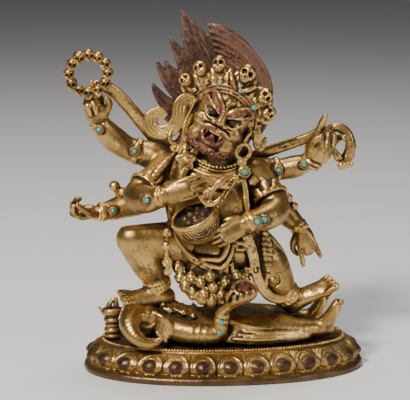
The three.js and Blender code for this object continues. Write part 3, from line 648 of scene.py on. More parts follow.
def cast(
    name: str,
    clays: Iterable[Clay],
    material: bpy.types.Material,
    paint: dict[str, Mask] | None = None,
    relax: float = 0.12,
) -> bpy.types.Object:
    """Casts blocks of clay as one piece of metal.

    Args:
        name: the piece's name.
        clays: the blocks.
        material: its finish.
        paint: masks worked out from local places, by attribute name.
        relax: the height of the uneven lumps of a hand-finished casting, in millimetres.

    Returns:
        The piece.
    """
    all_points, all_faces, all_masks = [], [], {"patina_and_shade_mask": [], "red": [], "dark": []}
    count = 0
    for clay in clays:
        local, quads, normals = clay.skin()
        # Dark oxide in the hollows together with painted shade: cavities of the clay's own field and
        # ambient occlusion from the other pieces darken the mask; raised crests, rubbed bright by wear,
        # lighten it.
        fine = 1.0 - clay.sample(local + normals * 0.7) / 0.7
        wide = 1.0 - clay.sample(local + normals * 1.9) / 1.9
        crest = 1.0 + clay.sample(local - normals * 1.1) / 1.1
        local = local + normals * (relax * lumps(local, 4.2, 5))[:, None]
        turn = np.array(clay.placement.turn, float)
        points, world_normals = clay.placement.out(local), normals @ turn.T
        broad = OCCLUSION_SHADE.at(points, world_normals)
        patina_and_shade_mask = 0.65 * smoothstep(0.04, 0.6, fine) + 0.6 * smoothstep(0.08, 0.8, wide) + 0.65 * broad
        all_masks["patina_and_shade_mask"].append(np.clip(patina_and_shade_mask, 0, 1.4) - 0.6 * smoothstep(0.08, 0.6, crest))
        for key in ("red", "dark"):
            mask = (paint or {}).get(key)
            all_masks[key].append(mask(local) if mask else np.zeros(len(local)))
        all_points.append(points)
        all_faces.append(quads + count)
        count += len(points)
    masks = {key: np.concatenate(values) for key, values in all_masks.items()}
    made = mesh_object(name, np.vstack(all_points), np.vstack(all_faces), masks, material)
    log.info("%s: %d faces", name, len(made.data.polygons))
    return made


# Shared carved forms.


def skull(clay: Clay, centre: Row, size: float, face: Row, up: Row) -> None:
    """A small skull with sockets, nose and teeth.

    Args:
        clay: the clay that it is worked into.
        centre: where its middle is.
        size: how large it is.
        face: the way that it faces.
        up: the way of its upper end.
    """
    c, f = np.asarray(centre, float), unit(face)
    u = square_to(up, f)
    side = np.cross(u, f)
    clay.ball(c + 0.1 * u * size, size * 0.98)
    clay.ball(c + (0.25 * f + 0.2 * u) * size, size * 0.88, 0.4)
    clay.ball(c + (0.42 * f - 0.62 * u) * size, size * 0.62, 0.2 * size)
    for s in (-1, 1):
        clay.ball(c + (0.6 * f + 0.5 * s * side - 0.4 * u) * size, size * 0.34, 0.3)
        socket = c + (0.41 * s * side - 0.04 * u) * size
        depths = ((1.1, 0.33), (0.62, 0.26))
        clay.rope([[*(socket + depth * f * size), size * r] for depth, r in depths], 0.1, steps=0,
                  carve=True)
        tooth = c + (0.98 * f + 0.2 * s * side - 0.92 * u) * size
        clay.rope([[*tooth, 0.08 * size], [*(tooth - 0.35 * size * u), 0.08 * size]], steps=0, carve=True)
    clay.ball(c + (1.02 * f - 0.46 * u) * size, size * 0.2, 0.1, carve=True)
    jaw = c + (1.0 * f - 0.86 * u) * size
    clay.rope([[*(jaw + s * 0.45 * size * side), 0.1 * size] for s in (-1, 1)], steps=0, carve=True)


def leaf(clay: Clay, root: Row, tip: Row, width: float, face: Row, blend: float = 0.3) -> None:
    """A pointed leaf with a raised midrib and a groove on each side of it.

    Args:
        clay: the clay that it is worked into.
        root: where it starts.
        tip: where it ends.
        width: half its width where it is widest.
        face: the way that it faces.
        blend: how wide the soft join to the clay is.
    """
    a, b = np.asarray(root, float), np.asarray(tip, float)
    f = unit(face)
    rows = [[*(a + along * (b - a)), width * wide, width * thin]
            for along, wide, thin in ((0, 0.6, 0.36), (0.4, 1, 0.4), (0.75, 0.6, 0.3))]
    clay.rope([*rows, [*b, 0.25, 0.25]], blend, flat=f)
    lift = f * width * 0.36
    clay.rope([[*(a + lift), 0.32], [*(a + 0.7 * (b - a) + lift * 0.9), 0.24]], 0.2, steps=0)


def bud(clay: Clay, centre: Row, radius: float, face: Row, petals: int = 6) -> None:
    """A round flower with small petals about a raised middle."""
    for place in round_about(centre, face, (0.3, 0.2, 0.9), radius * 0.66, petals):
        clay.ball(place, radius * 0.42, 0.2)
    clay.ball(np.asarray(centre, float) + unit(face) * radius * 0.25, radius * 0.46, 0.15)


def fluted(clay: Clay, points: Sequence[Row], width: float, strands: int, flat: Row,
           blend: float = 0.35) -> None:
    """A ribbon of parallel strands side by side, for cloth with fine pleats.

    Args:
        points: rows [x, y, z, share of the width].
        width: half the ribbon's full width.
        strands: how many pleats it has.
        flat: the way it is thin.
        blend: how softly the strands join.
    """
    rows = spline(points, 4)
    runs = np.gradient(rows[:, :3], axis=0)
    radius = width / strands * 1.15
    for k in range(strands):
        share = 2 * (k + 0.5) / strands - 1
        line = []
        for row, run in zip(rows, runs):
            across = np.cross(unit(run), square_to(flat, run))
            half = width * row[3]
            place = row[:3] + across * share * (half - radius * row[3] * 0.5)
            line.append([*place, radius * max(row[3], 0.25)])
        clay.rope(line, blend, steps=0)


def bangle(clay: Clay, centre: Row, axis: Row, radius: float, wire: float = 0.62, beads: int = 0) -> None:
    """Two wires round a limb, with a row of beads between them where asked.

    Args:
        clay: the clay that it is worked into.
        centre: where its middle is.
        axis: the way of the line that it lies round.
        radius: how far it reaches from its middle.
        wire: how thick each wire is.
        beads: how many beads, or none.
    """
    c, n = np.asarray(centre, float), unit(axis)
    for s in (-1, 1):
        clay.ring(c + n * s * wire * 1.25, n, radius + wire * 0.2, wire, 0.12)
    if beads:
        for place in round_about(c, n, (0.2, -0.9, 0.3), radius + wire * 0.5, beads):
            clay.ball(place, wire * 1.05, 0.1)


def along(stations: Sequence[Row], before: int, share: float) -> tuple[np.ndarray, np.ndarray, float]:
    """The place, the direction and the radius part of the way between two stations of a limb."""
    a, b = np.asarray(stations[before], float), np.asarray(stations[before + 1], float)
    row = a + (b - a) * share
    return row[:3], unit(b[:3] - a[:3]), float(row[3])


# The head, in its own frame: x to his left, -y forwards, z to the crown.


@dataclass
class Head:
    """The wrathful head with its diadem, skull crown and beard."""

    centre: tuple[float, float, float] = (-2.0, -10.0, 119.0)
    lean: float = 29.0
    yaw: float = -7.0
    nod: float = -3.0
    voxel: float = 0.47
    arch_width: float = 18.0
    arch_height: float = 16.6
    crown: tuple[tuple[float, float, float], ...] = (
        (-72, 8.4, 3.6),
        (-51, 9.8, 3.8),
        (-30, 10.8, 3.9),
        (0, 9.6, 4.5),
        (31, 7.4, 4.0),
        (52, 6.0, 3.7),
    )

    def placement(self) -> Placement:
        """How the head is turned and where it sits."""
        turn = turned((0, 1, 0), self.lean) @ turned(UP, self.yaw) @ turned((1, 0, 0), self.nod)
        return Placement(tuple(map(tuple, turn)), self.centre)

    def on_arch(self, angle: float, out: float = 0.0, forward: float = 0.0) -> np.ndarray:
        """A place on the diadem's arch, at an angle from its middle."""
        a = math.radians(angle)
        wide, high = self.arch_width + out, self.arch_height + out
        return np.array([wide * math.sin(a), 3 - 13 * math.cos(a) - forward, high * math.cos(a)])

    def sculpt(self) -> Clay:
        """Models the head and everything fixed to it.

        Returns:
            The finished clay.
        """
        clay = Clay((-34, -26, -25), (31, 16, 41), self.voxel, self.placement())
        self._flesh(clay)
        self._eyes(clay)
        self._mouth(clay)
        self._hair_line(clay)
        self._beard(clay)
        self._diadem(clay)
        return clay

    def _flesh(self, clay: Clay) -> None:
        """The skull, jaw, cheeks, nose and ears.

        Args:
            clay: the clay that it is worked into.
        """
        clay.ball((0, 0.8, 2.5), (14.4, 14, 17))
        clay.ball((0, -3.4, -10), (11.6, 10, 9), 3)
        clay.ball((0, -9.5, -7.6), (9, 5.8, 6), 3)
        clay.ball((0, -10.8, -16.8), (4.4, 3.4, 3), 1.6)
        for s in (-1, 1):
            clay.ball((s * 8.8, -10, -4.8), (4.5, 4.6, 4.2), 2)
            clay.ball((s * 8.4, -8.4, -12.8), (3.8, 4.4, 5), 1.8)
            clay.rope([[s * 14.6, -1.5, 4, 2.2, 1.3], [s * 16, -1, -1, 2.6, 1.4],
                       [s * 15.8, -1.5, -7, 1.7, 1.2], [s * 15.4, -2, -12.5, 1.7, 1.2]], 0.8,
                      flat=(1, 0, 0))
            clay.ring((s * 16.4, -1.4, 0), (1, 0.1 * s, 0), 2.3, 0.55, 0.3)
        clay.rope([[0, -14.4, 4.8, 1.5], [0, -16.2, 1, 2], [0, -17.2, -2, 2.4]], 1)
        for s in (-1, 1):
            clay.ball((s * 2.9, -16, -3), (2, 2, 1.7), 0.6)
            clay.ring((s * 3.1, -17.2, -3), (0.3 * s, -1, 0), 1.3, 0.3, 0.1, carve=True)
            clay.ball((s * 1.5, -17.6, -4.7), 0.8, 0.3, carve=True)
            clay.rope([[s * 4.4, -16, -4.4, 0.45], [s * 8, -14.6, -6.4, 0.55], [s * 9.2, -12.8, -11, 0.4]],
                      0.4, carve=True)
            swirl = arc((s * 9.6, -13.4, -4.2), (s, 0.35, 0), UP, 2.1, -30, 250, 8)
            clay.rope([[*p, 0.5] for p in swirl], 0.3)
        clay.rope([[-2.4, -17, 2.2, 0.35], [0, -18, 2.6, 0.4], [2.4, -17, 2.2, 0.35]], 0.3, carve=True)

    def _eyes(self, clay: Clay) -> None:
        """Bulging eyes under flaming brows, and the third eye between the brows.

        Args:
            clay: the clay that it is worked into.
        """
        for s in (-1, 1):
            eye = np.array((s * 6.0, -12.4, 0.9))
            clay.ball(eye + (0, -0.6, 0), (4.4, 3, 3.3), 0.5, carve=True)
            clay.ball(eye, (3.2, 3.2, 2.7), 0.1)
            low = [[s * 1.8, -15, -0.6, 0.5], [s * 4.6, -15.6, -2.2, 0.75], [s * 7.8, -14.8, -1.9, 0.75],
                   [s * 10.8, -12.2, 2.2, 0.5]]
            clay.rope(low, 0.2)
            clay.rope([[x, y + 0.5, z - 1.7, r * 0.7] for x, y, z, r in low], 0.2)
            clay.rope([[s * 1.6, -15, 2.0, 0.7], [s * 4.2, -15.4, 4.6, 1.9], [s * 7.0, -14.2, 6.6, 2.1],
                       [s * 10, -11.6, 9.4, 0.8]], 0.5)
            clay.rope([[s * 1.1, -15.4, 2.4, 0.55], [s * 2.4, -15.8, 5.8, 0.65], [s * 5.2, -14.8, 8.4, 0.7],
                       [s * 9.2, -12.2, 10.8, 0.65], [s * 11.6, -10.2, 9.6, 0.6]], 0.15)
            clay.rope([[s * 2.2, -15.8, 1.4, 0.5], [s * 5.6, -16, 3.0, 0.7], [s * 9.2, -13.8, 4.8, 0.7],
                       [s * 12, -10.6, 7.2, 0.6]], 0.15)
            curl = arc((s * 11.6, -9.8, 7.9), (s, 0.6, 0), UP, 1.6, 100, -150, 7)
            clay.rope([[*p, 0.55] for p in curl], 0.15)
        clay.ball((0, -12.8, 7.8), (3.0, 1.9, 3.3), 0.3)
        spiral = [[(0.5 + 0.36 * t) * math.cos(t), -15.0 + 0.05 * t * t,
                   7.8 + (0.5 + 0.44 * t) * math.sin(t), 0.5] for t in np.linspace(0.4, 7.6, 16)]
        clay.rope(spiral, 0.15, steps=2)

    def _mouth(self, clay: Clay) -> None:
        """An open roaring mouth with lips, teeth, fangs and a curled tongue.

        Args:
            clay: the clay that it is worked into.
        """
        clay.ball((0, -16.6, -10.3), (5.6, 7, 3.2), 0.5, carve=True)
        corner = 6.6
        upper = [[-corner, -12.6, -9.4, 0.8], [-3.6, -14.9, -7, 1.0], [0, -15.7, -6.9, 0.9],
                 [3.6, -14.9, -7, 1.0], [corner, -12.6, -9.4, 0.8]]
        lower = [[-corner, -12.6, -9.4, 0.8], [-3.9, -14, -13.3, 1.0], [0, -14.7, -14.2, 1.2],
                 [3.9, -14, -13.3, 1.0], [corner, -12.6, -9.4, 0.8]]
        clay.rope(upper, 0.3)
        clay.rope(lower, 0.3)
        for x in (-2.2, -0.75, 0.75, 2.2):
            clay.ball((x, -14.6, -8.2), (0.74, 0.7, 1.0), 0.1)
            clay.ball((x * 0.95, -13.4, -12.8), (0.68, 0.7, 0.85), 0.1)
        for s in (-1, 1):
            clay.rope([[s * 3.7, -14.4, -7.8, 0.85], [s * 3.7, -14.6, -10.8, 0.25]], steps=0)
            clay.rope([[s * 4.2, -13.5, -12.8, 0.75], [s * 4.2, -13.9, -10.4, 0.25]], steps=0)
        clay.rope([[0, -9, -11.6, 2.4, 1], [0, -12.4, -11.8, 2.2, 0.9], [0, -13.7, -10.4, 1.3, 0.7]], 0.3,
                  flat=UP)

    def _hair_line(self, clay: Clay) -> None:
        """Locks drawn back from the forehead under the diadem.

        Args:
            clay: the clay that it is worked into.
        """
        for k in range(15):
            a = -84 + 12 * k
            start = self.on_arch(a, -4.6, 0.2)
            middle = self.on_arch(a, 1.4, -3)
            end = self.on_arch(a, 2.0, -9)
            clay.rope([[*start, 0.9], [*middle, 1.5], [*end, 1.2]], 0.5)
        clay.ball((0, 3, 9), (17.6, 12, 15), 1.5)

    def _beard(self, clay: Clay) -> None:
        """A fringe of curls along the jaw, and an upturned moustache.

        Args:
            clay: the clay that it is worked into.
        """
        for k in range(9):
            a = math.radians(-80 + 20 * k)
            place = np.array((10.8 * math.sin(a), -6.9 * math.cos(a) - 4.2, -15.2 - 3.2 * math.cos(a)))
            out = unit((math.sin(a), -math.cos(a) * 0.9, -0.25))
            clay.ball(place, 2.25, 0.5)
            clay.ring(place + out * 1.6, out, 1.2, 0.34, 0.1, carve=True)
            clay.ball(place + out * 1.9, 0.6, 0.1)
        for s in (-1, 1):
            clay.rope([[s * 0.8, -16.4, -5.7, 0.6], [s * 4.4, -15.8, -6.0, 0.8],
                       [s * 7.6, -13.9, -7.4, 0.75], [s * 9.6, -12.4, -6.4, 0.5]], 0.2)

    def _diadem(self, clay: Clay) -> None:
        """The three-line fillet, its stones' collars, the skulls and the leaves between them.

        Args:
            clay: the clay that it is worked into.
        """
        for out, radius in ((-3.4, 0.68), (-1.7, 0.85), (0.1, 0.68)):
            rows = [[*self.on_arch(a, out, 1.2), radius] for a in range(-92, 79, 10)]
            clay.rope(rows, 0.2, steps=2)
        for angle, out, size in self.crown:
            a = math.radians(angle)
            face = (0.75 * math.sin(a), -1, 0.12)
            up = (math.sin(a), 0, math.cos(a))
            root, top = self.on_arch(angle, 1, 0.4), self.on_arch(angle, out, 0.8)
            clay.rope([[*root, 2.6, 1.2], [*(root + 0.5 * (top - root)), 3.2, 1.3], [*top, 2.4, 1.2]], 0.4,
                      flat=face)
            skull(clay, top + unit(face) * 0.6, size, face, up)
            bud(clay, self.on_arch(angle, 2.6, 1.6), 1.7, face, 5)
            bud(clay, self.on_arch(angle, out + size * 1.02, 0.6), 1.0, face, 5)
        for angle in (-82, -62, -41, -20, -11, 11, 21, 41, 62):
            a = math.radians(angle)
            face = (0.75 * math.sin(a), -1, 0.1)
            leaf(clay, self.on_arch(angle, 1.6, 0.7), self.on_arch(angle + 2, 9.5, 0), 2.3, face)
            bud(clay, self.on_arch(angle, 3.2, 1.3), 1.35, face, 5)
        for s in (-1, 1):
            clay.rope([[s * 1.5, -12, 16.5, 0.9], [s * 4.6, -13, 19.2, 1.4], [s * 7, -11.6, 22, 1.2]], 0.4)

    def red(self, local: np.ndarray) -> np.ndarray:
        """Where the face is painted red: the mouth, the lips and the brows.

        Args:
            local: places in the clay's own frame, one a row.

        Returns:
            One share between 0 and 1 for each place.
        """
        x, y, z = np.abs(local[:, 0]), local[:, 1], local[:, 2]
        mouth = smoothstep(1.2, 0.9, np.hypot(x / 7.0, (z + 10.5) / 4.9)) * smoothstep(-9.6, -11.5, y)
        teeth = smoothstep(-13.6, -14.2, y) * smoothstep(3.1, 2.5, x)
        teeth = teeth * smoothstep(-9.3, -8.8, z) * smoothstep(-7.3, -7.7, z)
        share = np.clip(((x - 1.6) * 8.4 + (z - 2.0) * 7.4) / (8.4**2 + 7.4**2), 0, 1)
        off = np.hypot(x - 1.6 - 8.4 * share, z - 2.0 - 7.4 * share)
        brow = smoothstep(0.3, -0.2, off - 0.6 - 5.2 * share * (1 - share)) * smoothstep(-9.5, -10.5, y)
        fringe = -15.2 - 3.2 * np.sqrt(np.clip(1 - (x / 10.8) ** 2, 0, 1))
        beard = smoothstep(3.0, 2.2, np.abs(z - fringe))
        beard = beard * smoothstep(0.8, 0.95, np.hypot(x / 10.8, (y + 4.2) / 6.9))
        beard = beard * smoothstep(-1, -3, y) * smoothstep(-13.2, -14.2, z + 0.12 * np.maximum(4 - x, 0))
        out = (np.hypot(x / self.arch_width, z / self.arch_height) - 1) * self.arch_height
        fillet = smoothstep(-4.6, -3.8, out) * smoothstep(0.9, 0.2, out) * smoothstep(4.5, 6.5, z)
        return np.clip(mouth * (1 - teeth) + brow + 0.9 * beard + 0.75 * fillet, 0, 1)

    def dark(self, local: np.ndarray) -> np.ndarray:
        """Where the face is painted black: the eyes, and painted shade deep in the mouth."""
        x, y, z = np.abs(local[:, 0]), local[:, 1], local[:, 2]
        eyes = smoothstep(1.0, 0.8, np.hypot((x - 5.9) / 2.5, (z - 1.0) / 2.0))
        eyes = eyes * smoothstep(-13.6, -14.2, y)
        throat_shade = smoothstep(4.6, 3.6, np.hypot(x, (z + 10.4) * 1.5)) * smoothstep(-12.6, -11.4, y)
        return np.clip(eyes + throat_shade * smoothstep(-16, -14, y), 0, 1)


# Hands, each modelled in its own frame: x along the fingers, y towards the thumb, z out of the palm's back.


@dataclass(frozen=True)
class Gesture:
    """How a hand is held: the bends of each finger's joints in degrees, first finger first."""

    bends: tuple[tuple[float, float, float], ...]
    thumb: tuple[tuple[float, float, float], ...]
    fan: float = 4.0


@dataclass
class Hand:
    """One plump hand at the end of an arm."""

    wrist: tuple[float, float, float]
    way: tuple[float, float, float]
    back: tuple[float, float, float]
    thumb_side: int
    gesture: Gesture
    size: float = 1.0
    voxel: float = 0.46
    palm_length: float = 10.5
    lengths: tuple[float, ...] = (9.8, 11.2, 10.4, 8.6)

    def placement(self) -> Placement:
        """The turn that lays the hand's own frame along the arm."""
        x = unit(self.way)
        z = square_to(self.back, x)
        y = np.cross(z, x)
        return Placement(tuple(map(tuple, np.stack([x, y, z], 1))), self.wrist)

    def sculpt(self) -> Clay:
        """Models palm, fingers and thumb.

        Returns:
            The finished clay.
        """
        k = self.size
        clay = Clay((-5, -15, -15), (27 * k, 15, 9), self.voxel, self.placement())
        side = self.thumb_side
        clay.rope([[-3 * k, 0, 0, 3.9 * k, 3.3 * k], [1.5 * k, 0, 0, 4.1 * k, 3.1 * k],
                   [6 * k, 0, 0, 5.3 * k, 2.7 * k], [9.4 * k, 0, 0, 5.3 * k, 2.2 * k]], 0, flat=UP)
        clay.ball((3.6 * k, side * 3.4 * k, -1.6 * k), (4 * k, 2.6 * k, 2.3 * k), 1.4)
        clay.ball((4.2 * k, -side * 3.2 * k, -1.3 * k), (4.6 * k, 2.2 * k, 2 * k), 1.2)
        for i, bends in enumerate(self.gesture.bends):
            self._finger(clay, i, bends)
        place = np.array([2.2 * k, side * 3.6 * k, -0.8 * k])
        rows = [[*place, 2.0 * k]]
        for radius, (x, y, z) in zip((1.8, 1.65, 1.3), self.gesture.thumb):
            place = place + np.array([x, side * y, z]) * k
            rows.append([*place, radius * k])
        clay.rope(rows, 0.6, steps=3)
        for r in (3.95, 4.25):
            clay.ring((-1.4 + 2 * (4.25 - r), 0, 0), (1, 0, 0), r * k, 0.5, 0.1)
        return clay

    def _finger(self, clay: Clay, i: int, bends: tuple[float, ...]) -> None:
        """One finger with its joints, its creases and its nail.

        Args:
            clay: the clay that it is worked into.
            i: its number, counted from the thumb's side.
            bends: how far each joint bends.
        """
        k = self.size
        side = self.thumb_side
        spread = math.radians(side * (1.5 - i) * self.gesture.fan)
        place = np.array([self.palm_length * k - 1.6, side * (1.5 - i) * 2.66 * k, 0.3 * k])
        heading = np.array([math.cos(spread), math.sin(spread), 0.0])
        rows = [[*(place - heading * 2.6), 1.4 * k], [*place, 1.62 * k]]
        bend = 0.0
        for joint, (more, share) in enumerate(zip(bends, (0.44, 0.31, 0.25))):
            bend += math.radians(more)
            step = heading * math.cos(bend) - np.array(UP) * math.sin(bend)
            top = heading * math.sin(bend) + np.array(UP) * math.cos(bend)
            place = place + step * self.lengths[i] * share * k
            rows.append([*place, (1.55, 1.42, 1.12)[joint] * k])
        clay.rope(rows, 0.22, steps=3)
        for row in rows[2:4]:
            clay.ring(row[:3], step, row[3] + 0.1, 0.22, 0.15, carve=True)
        nail = place + top * 0.8 * k + step * 0.3 * k
        clay.ball(nail, (0.62 * k, 0.62 * k, 0.4 * k), 0.1)


STRAIGHT = (4.0, 4.0, 3.0)
FOLDED = (72.0, 95.0, 40.0)
GESTURES = {
    "front_right": Gesture(((8, 12, 8), (9, 13, 8), (11, 15, 10), (14, 18, 12)),
                           ((3.4, 0.6, -2.0), (3.4, -0.8, -1.6), (2.6, -1.2, -0.8)), 0.6),
    "front_left": Gesture(((10, 14, 12), (12, 16, 12), (14, 18, 12), (18, 20, 14)),
                          ((3.4, 1.8, -1.0), (3.4, 0.4, -1.4), (2.6, -0.4, -1.2)), 1.2),
    "upper_right": Gesture((STRAIGHT, (3, 5, 5), (62, 80, 30), (70, 84, 30)),
                           ((3.2, 2.4, -1.6), (3.4, 0.6, -1.8), (2.8, -1.2, -1.0)), 2.0),
    "upper_left": Gesture((STRAIGHT, (46, 66, 30), (40, 60, 30), (24, 30, 20)),
                          ((3.2, 2.2, -2.0), (3.4, 0.2, -2.2), (2.8, -1.4, -1.2)), 5.0),
    "middle_right": Gesture(((30, 40, 24), (34, 40, 20), (44, 50, 24), (52, 56, 30)),
                            ((3.4, 2.2, -2.4), (3.6, 0.4, -2.8), (2.6, -0.4, -2.2)), 5.0),
    "middle_left": Gesture(((2, 4, 3), FOLDED, FOLDED, (4, 6, 5)),
                           ((3.4, 3.0, -0.8), (3.6, 0.8, -1.4), (3.0, -1.4, -1.2)), 5.0),
}


@dataclass
class Arms:
    """Stations [x, y, z, radius] of the six arms, and their hands."""

    upper_right: tuple[Row, ...] = ((-26, 3, 91, 8.4), (-38, 5, 97, 7.4), (-49.5, 6, 100.5, 6.3),
                                    (-57, 5.5, 105.5, 6.8), (-62, 4, 111, 5.8), (-66, 2.5, 116, 4.1))
    upper_left: tuple[Row, ...] = ((14, 3, 88, 8), (24, 6, 88.4, 6.4), (31, 6, 88.6, 5.8), (38, 5.4, 90, 6),
                                   (43, 4.2, 91.8, 5), (46.8, 3, 94, 3.9))
    middle_right: tuple[Row, ...] = ((-28, 6, 82, 8), (-42, 10, 72, 7), (-53, 10, 69, 6.4),
                                     (-60, 8, 67.4, 5.4), (-67, 6, 66.4, 3.9))
    middle_left: tuple[Row, ...] = ((15, 6, 80, 8), (25, 10, 71, 7.4), (33, 10, 64.6, 6.6),
                                    (38, 8, 60, 5.2), (42.4, 6, 55.6, 3.9))
    front_right: tuple[Row, ...] = ((-29, -3, 91, 8.6), (-39, -6, 84.5, 8), (-46, -12, 79, 7.6),
                                    (-43, -21, 78.6, 7.4), (-37.5, -26.5, 80, 5.8),
                                    (-33.5, -29.5, 81.8, 4.5))
    front_left: tuple[Row, ...] = ((15, -3, 88, 8.4), (22, -6, 80, 8), (26, -12, 71.6, 7.6),
                                   (21.5, -20, 68.4, 7), (14, -26, 67.6, 5.6), (8, -29.5, 66.8, 4.3))

    def all(self) -> dict[str, tuple[Row, ...]]:
        """Every arm's stations by name."""
        return {name: getattr(self, name) for name in GESTURES}

    def hands(self) -> dict[str, Hand]:
        """Every hand by the name of its arm.

        Returns:
            The hands by name.
        """
        held = {
            "front_right": ((-33.5, -29.5, 81.8), (0.92, -0.16, 0.30), (0.1, -1, 0.25), 1, 1.1),
            "front_left": ((8, -29.5, 66.8), (-0.88, -0.24, -0.42), (0.3, -1, 0.3), -1, 1.0),
            "upper_right": ((-66, 2.5, 116), (-0.24, -0.18, 1), (-0.3, 1, 0), 1, 1.08),
            "upper_left": ((48.2, 2.4, 94.4), (0.5, -0.2, 1), (-0.2, 1, 0), -1, 1.28),
            "middle_right": ((-67, 6, 66.4), (-1, -0.15, 0.02), (0, 0.3, -1), -1, 1.0),
            "middle_left": ((42.4, 6, 55.6), (0.34, -0.12, -1), (0, -1, 0.1), -1, 1.0),
        }
        return {name: Hand(*place, GESTURES[name], size) for name, (*place, size) in held.items()}


@dataclass(frozen=True)
class StonePlace:
    """A turquoise: its centre, the way it faces and its radius."""

    node: str
    centre: tuple[float, float, float]
    out: tuple[float, float, float]
    radius: float


def stone_places() -> list[StonePlace]:
    """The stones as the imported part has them: each faces away from what carries it.

    Returns:
        One entry for each stone.
    """
    facing = {"diadem": (0.3, -1, 0.5), "upper_right_wrist": (-0.3, -1, -0.15)}
    made = []
    for node in sorted(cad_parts):
        if not node.startswith("turquoise"):
            continue
        low, high = (np.array(corner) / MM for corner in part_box(node))
        centre = (low + high) / 2 - (0, 0, DECK)
        out = next((way for key, way in facing.items() if key in node), (0, -1, 0.1))
        made.append(StonePlace(node, tuple(centre), out, float(high[0] - low[0]) / 2))
    return made


def body_stones() -> list[StonePlace]:
    """The stones that the body carries, all but the diadem's."""
    return [stone for stone in stone_places() if "diadem" not in stone.node]


# The body, in two blocks that meet under the belt.


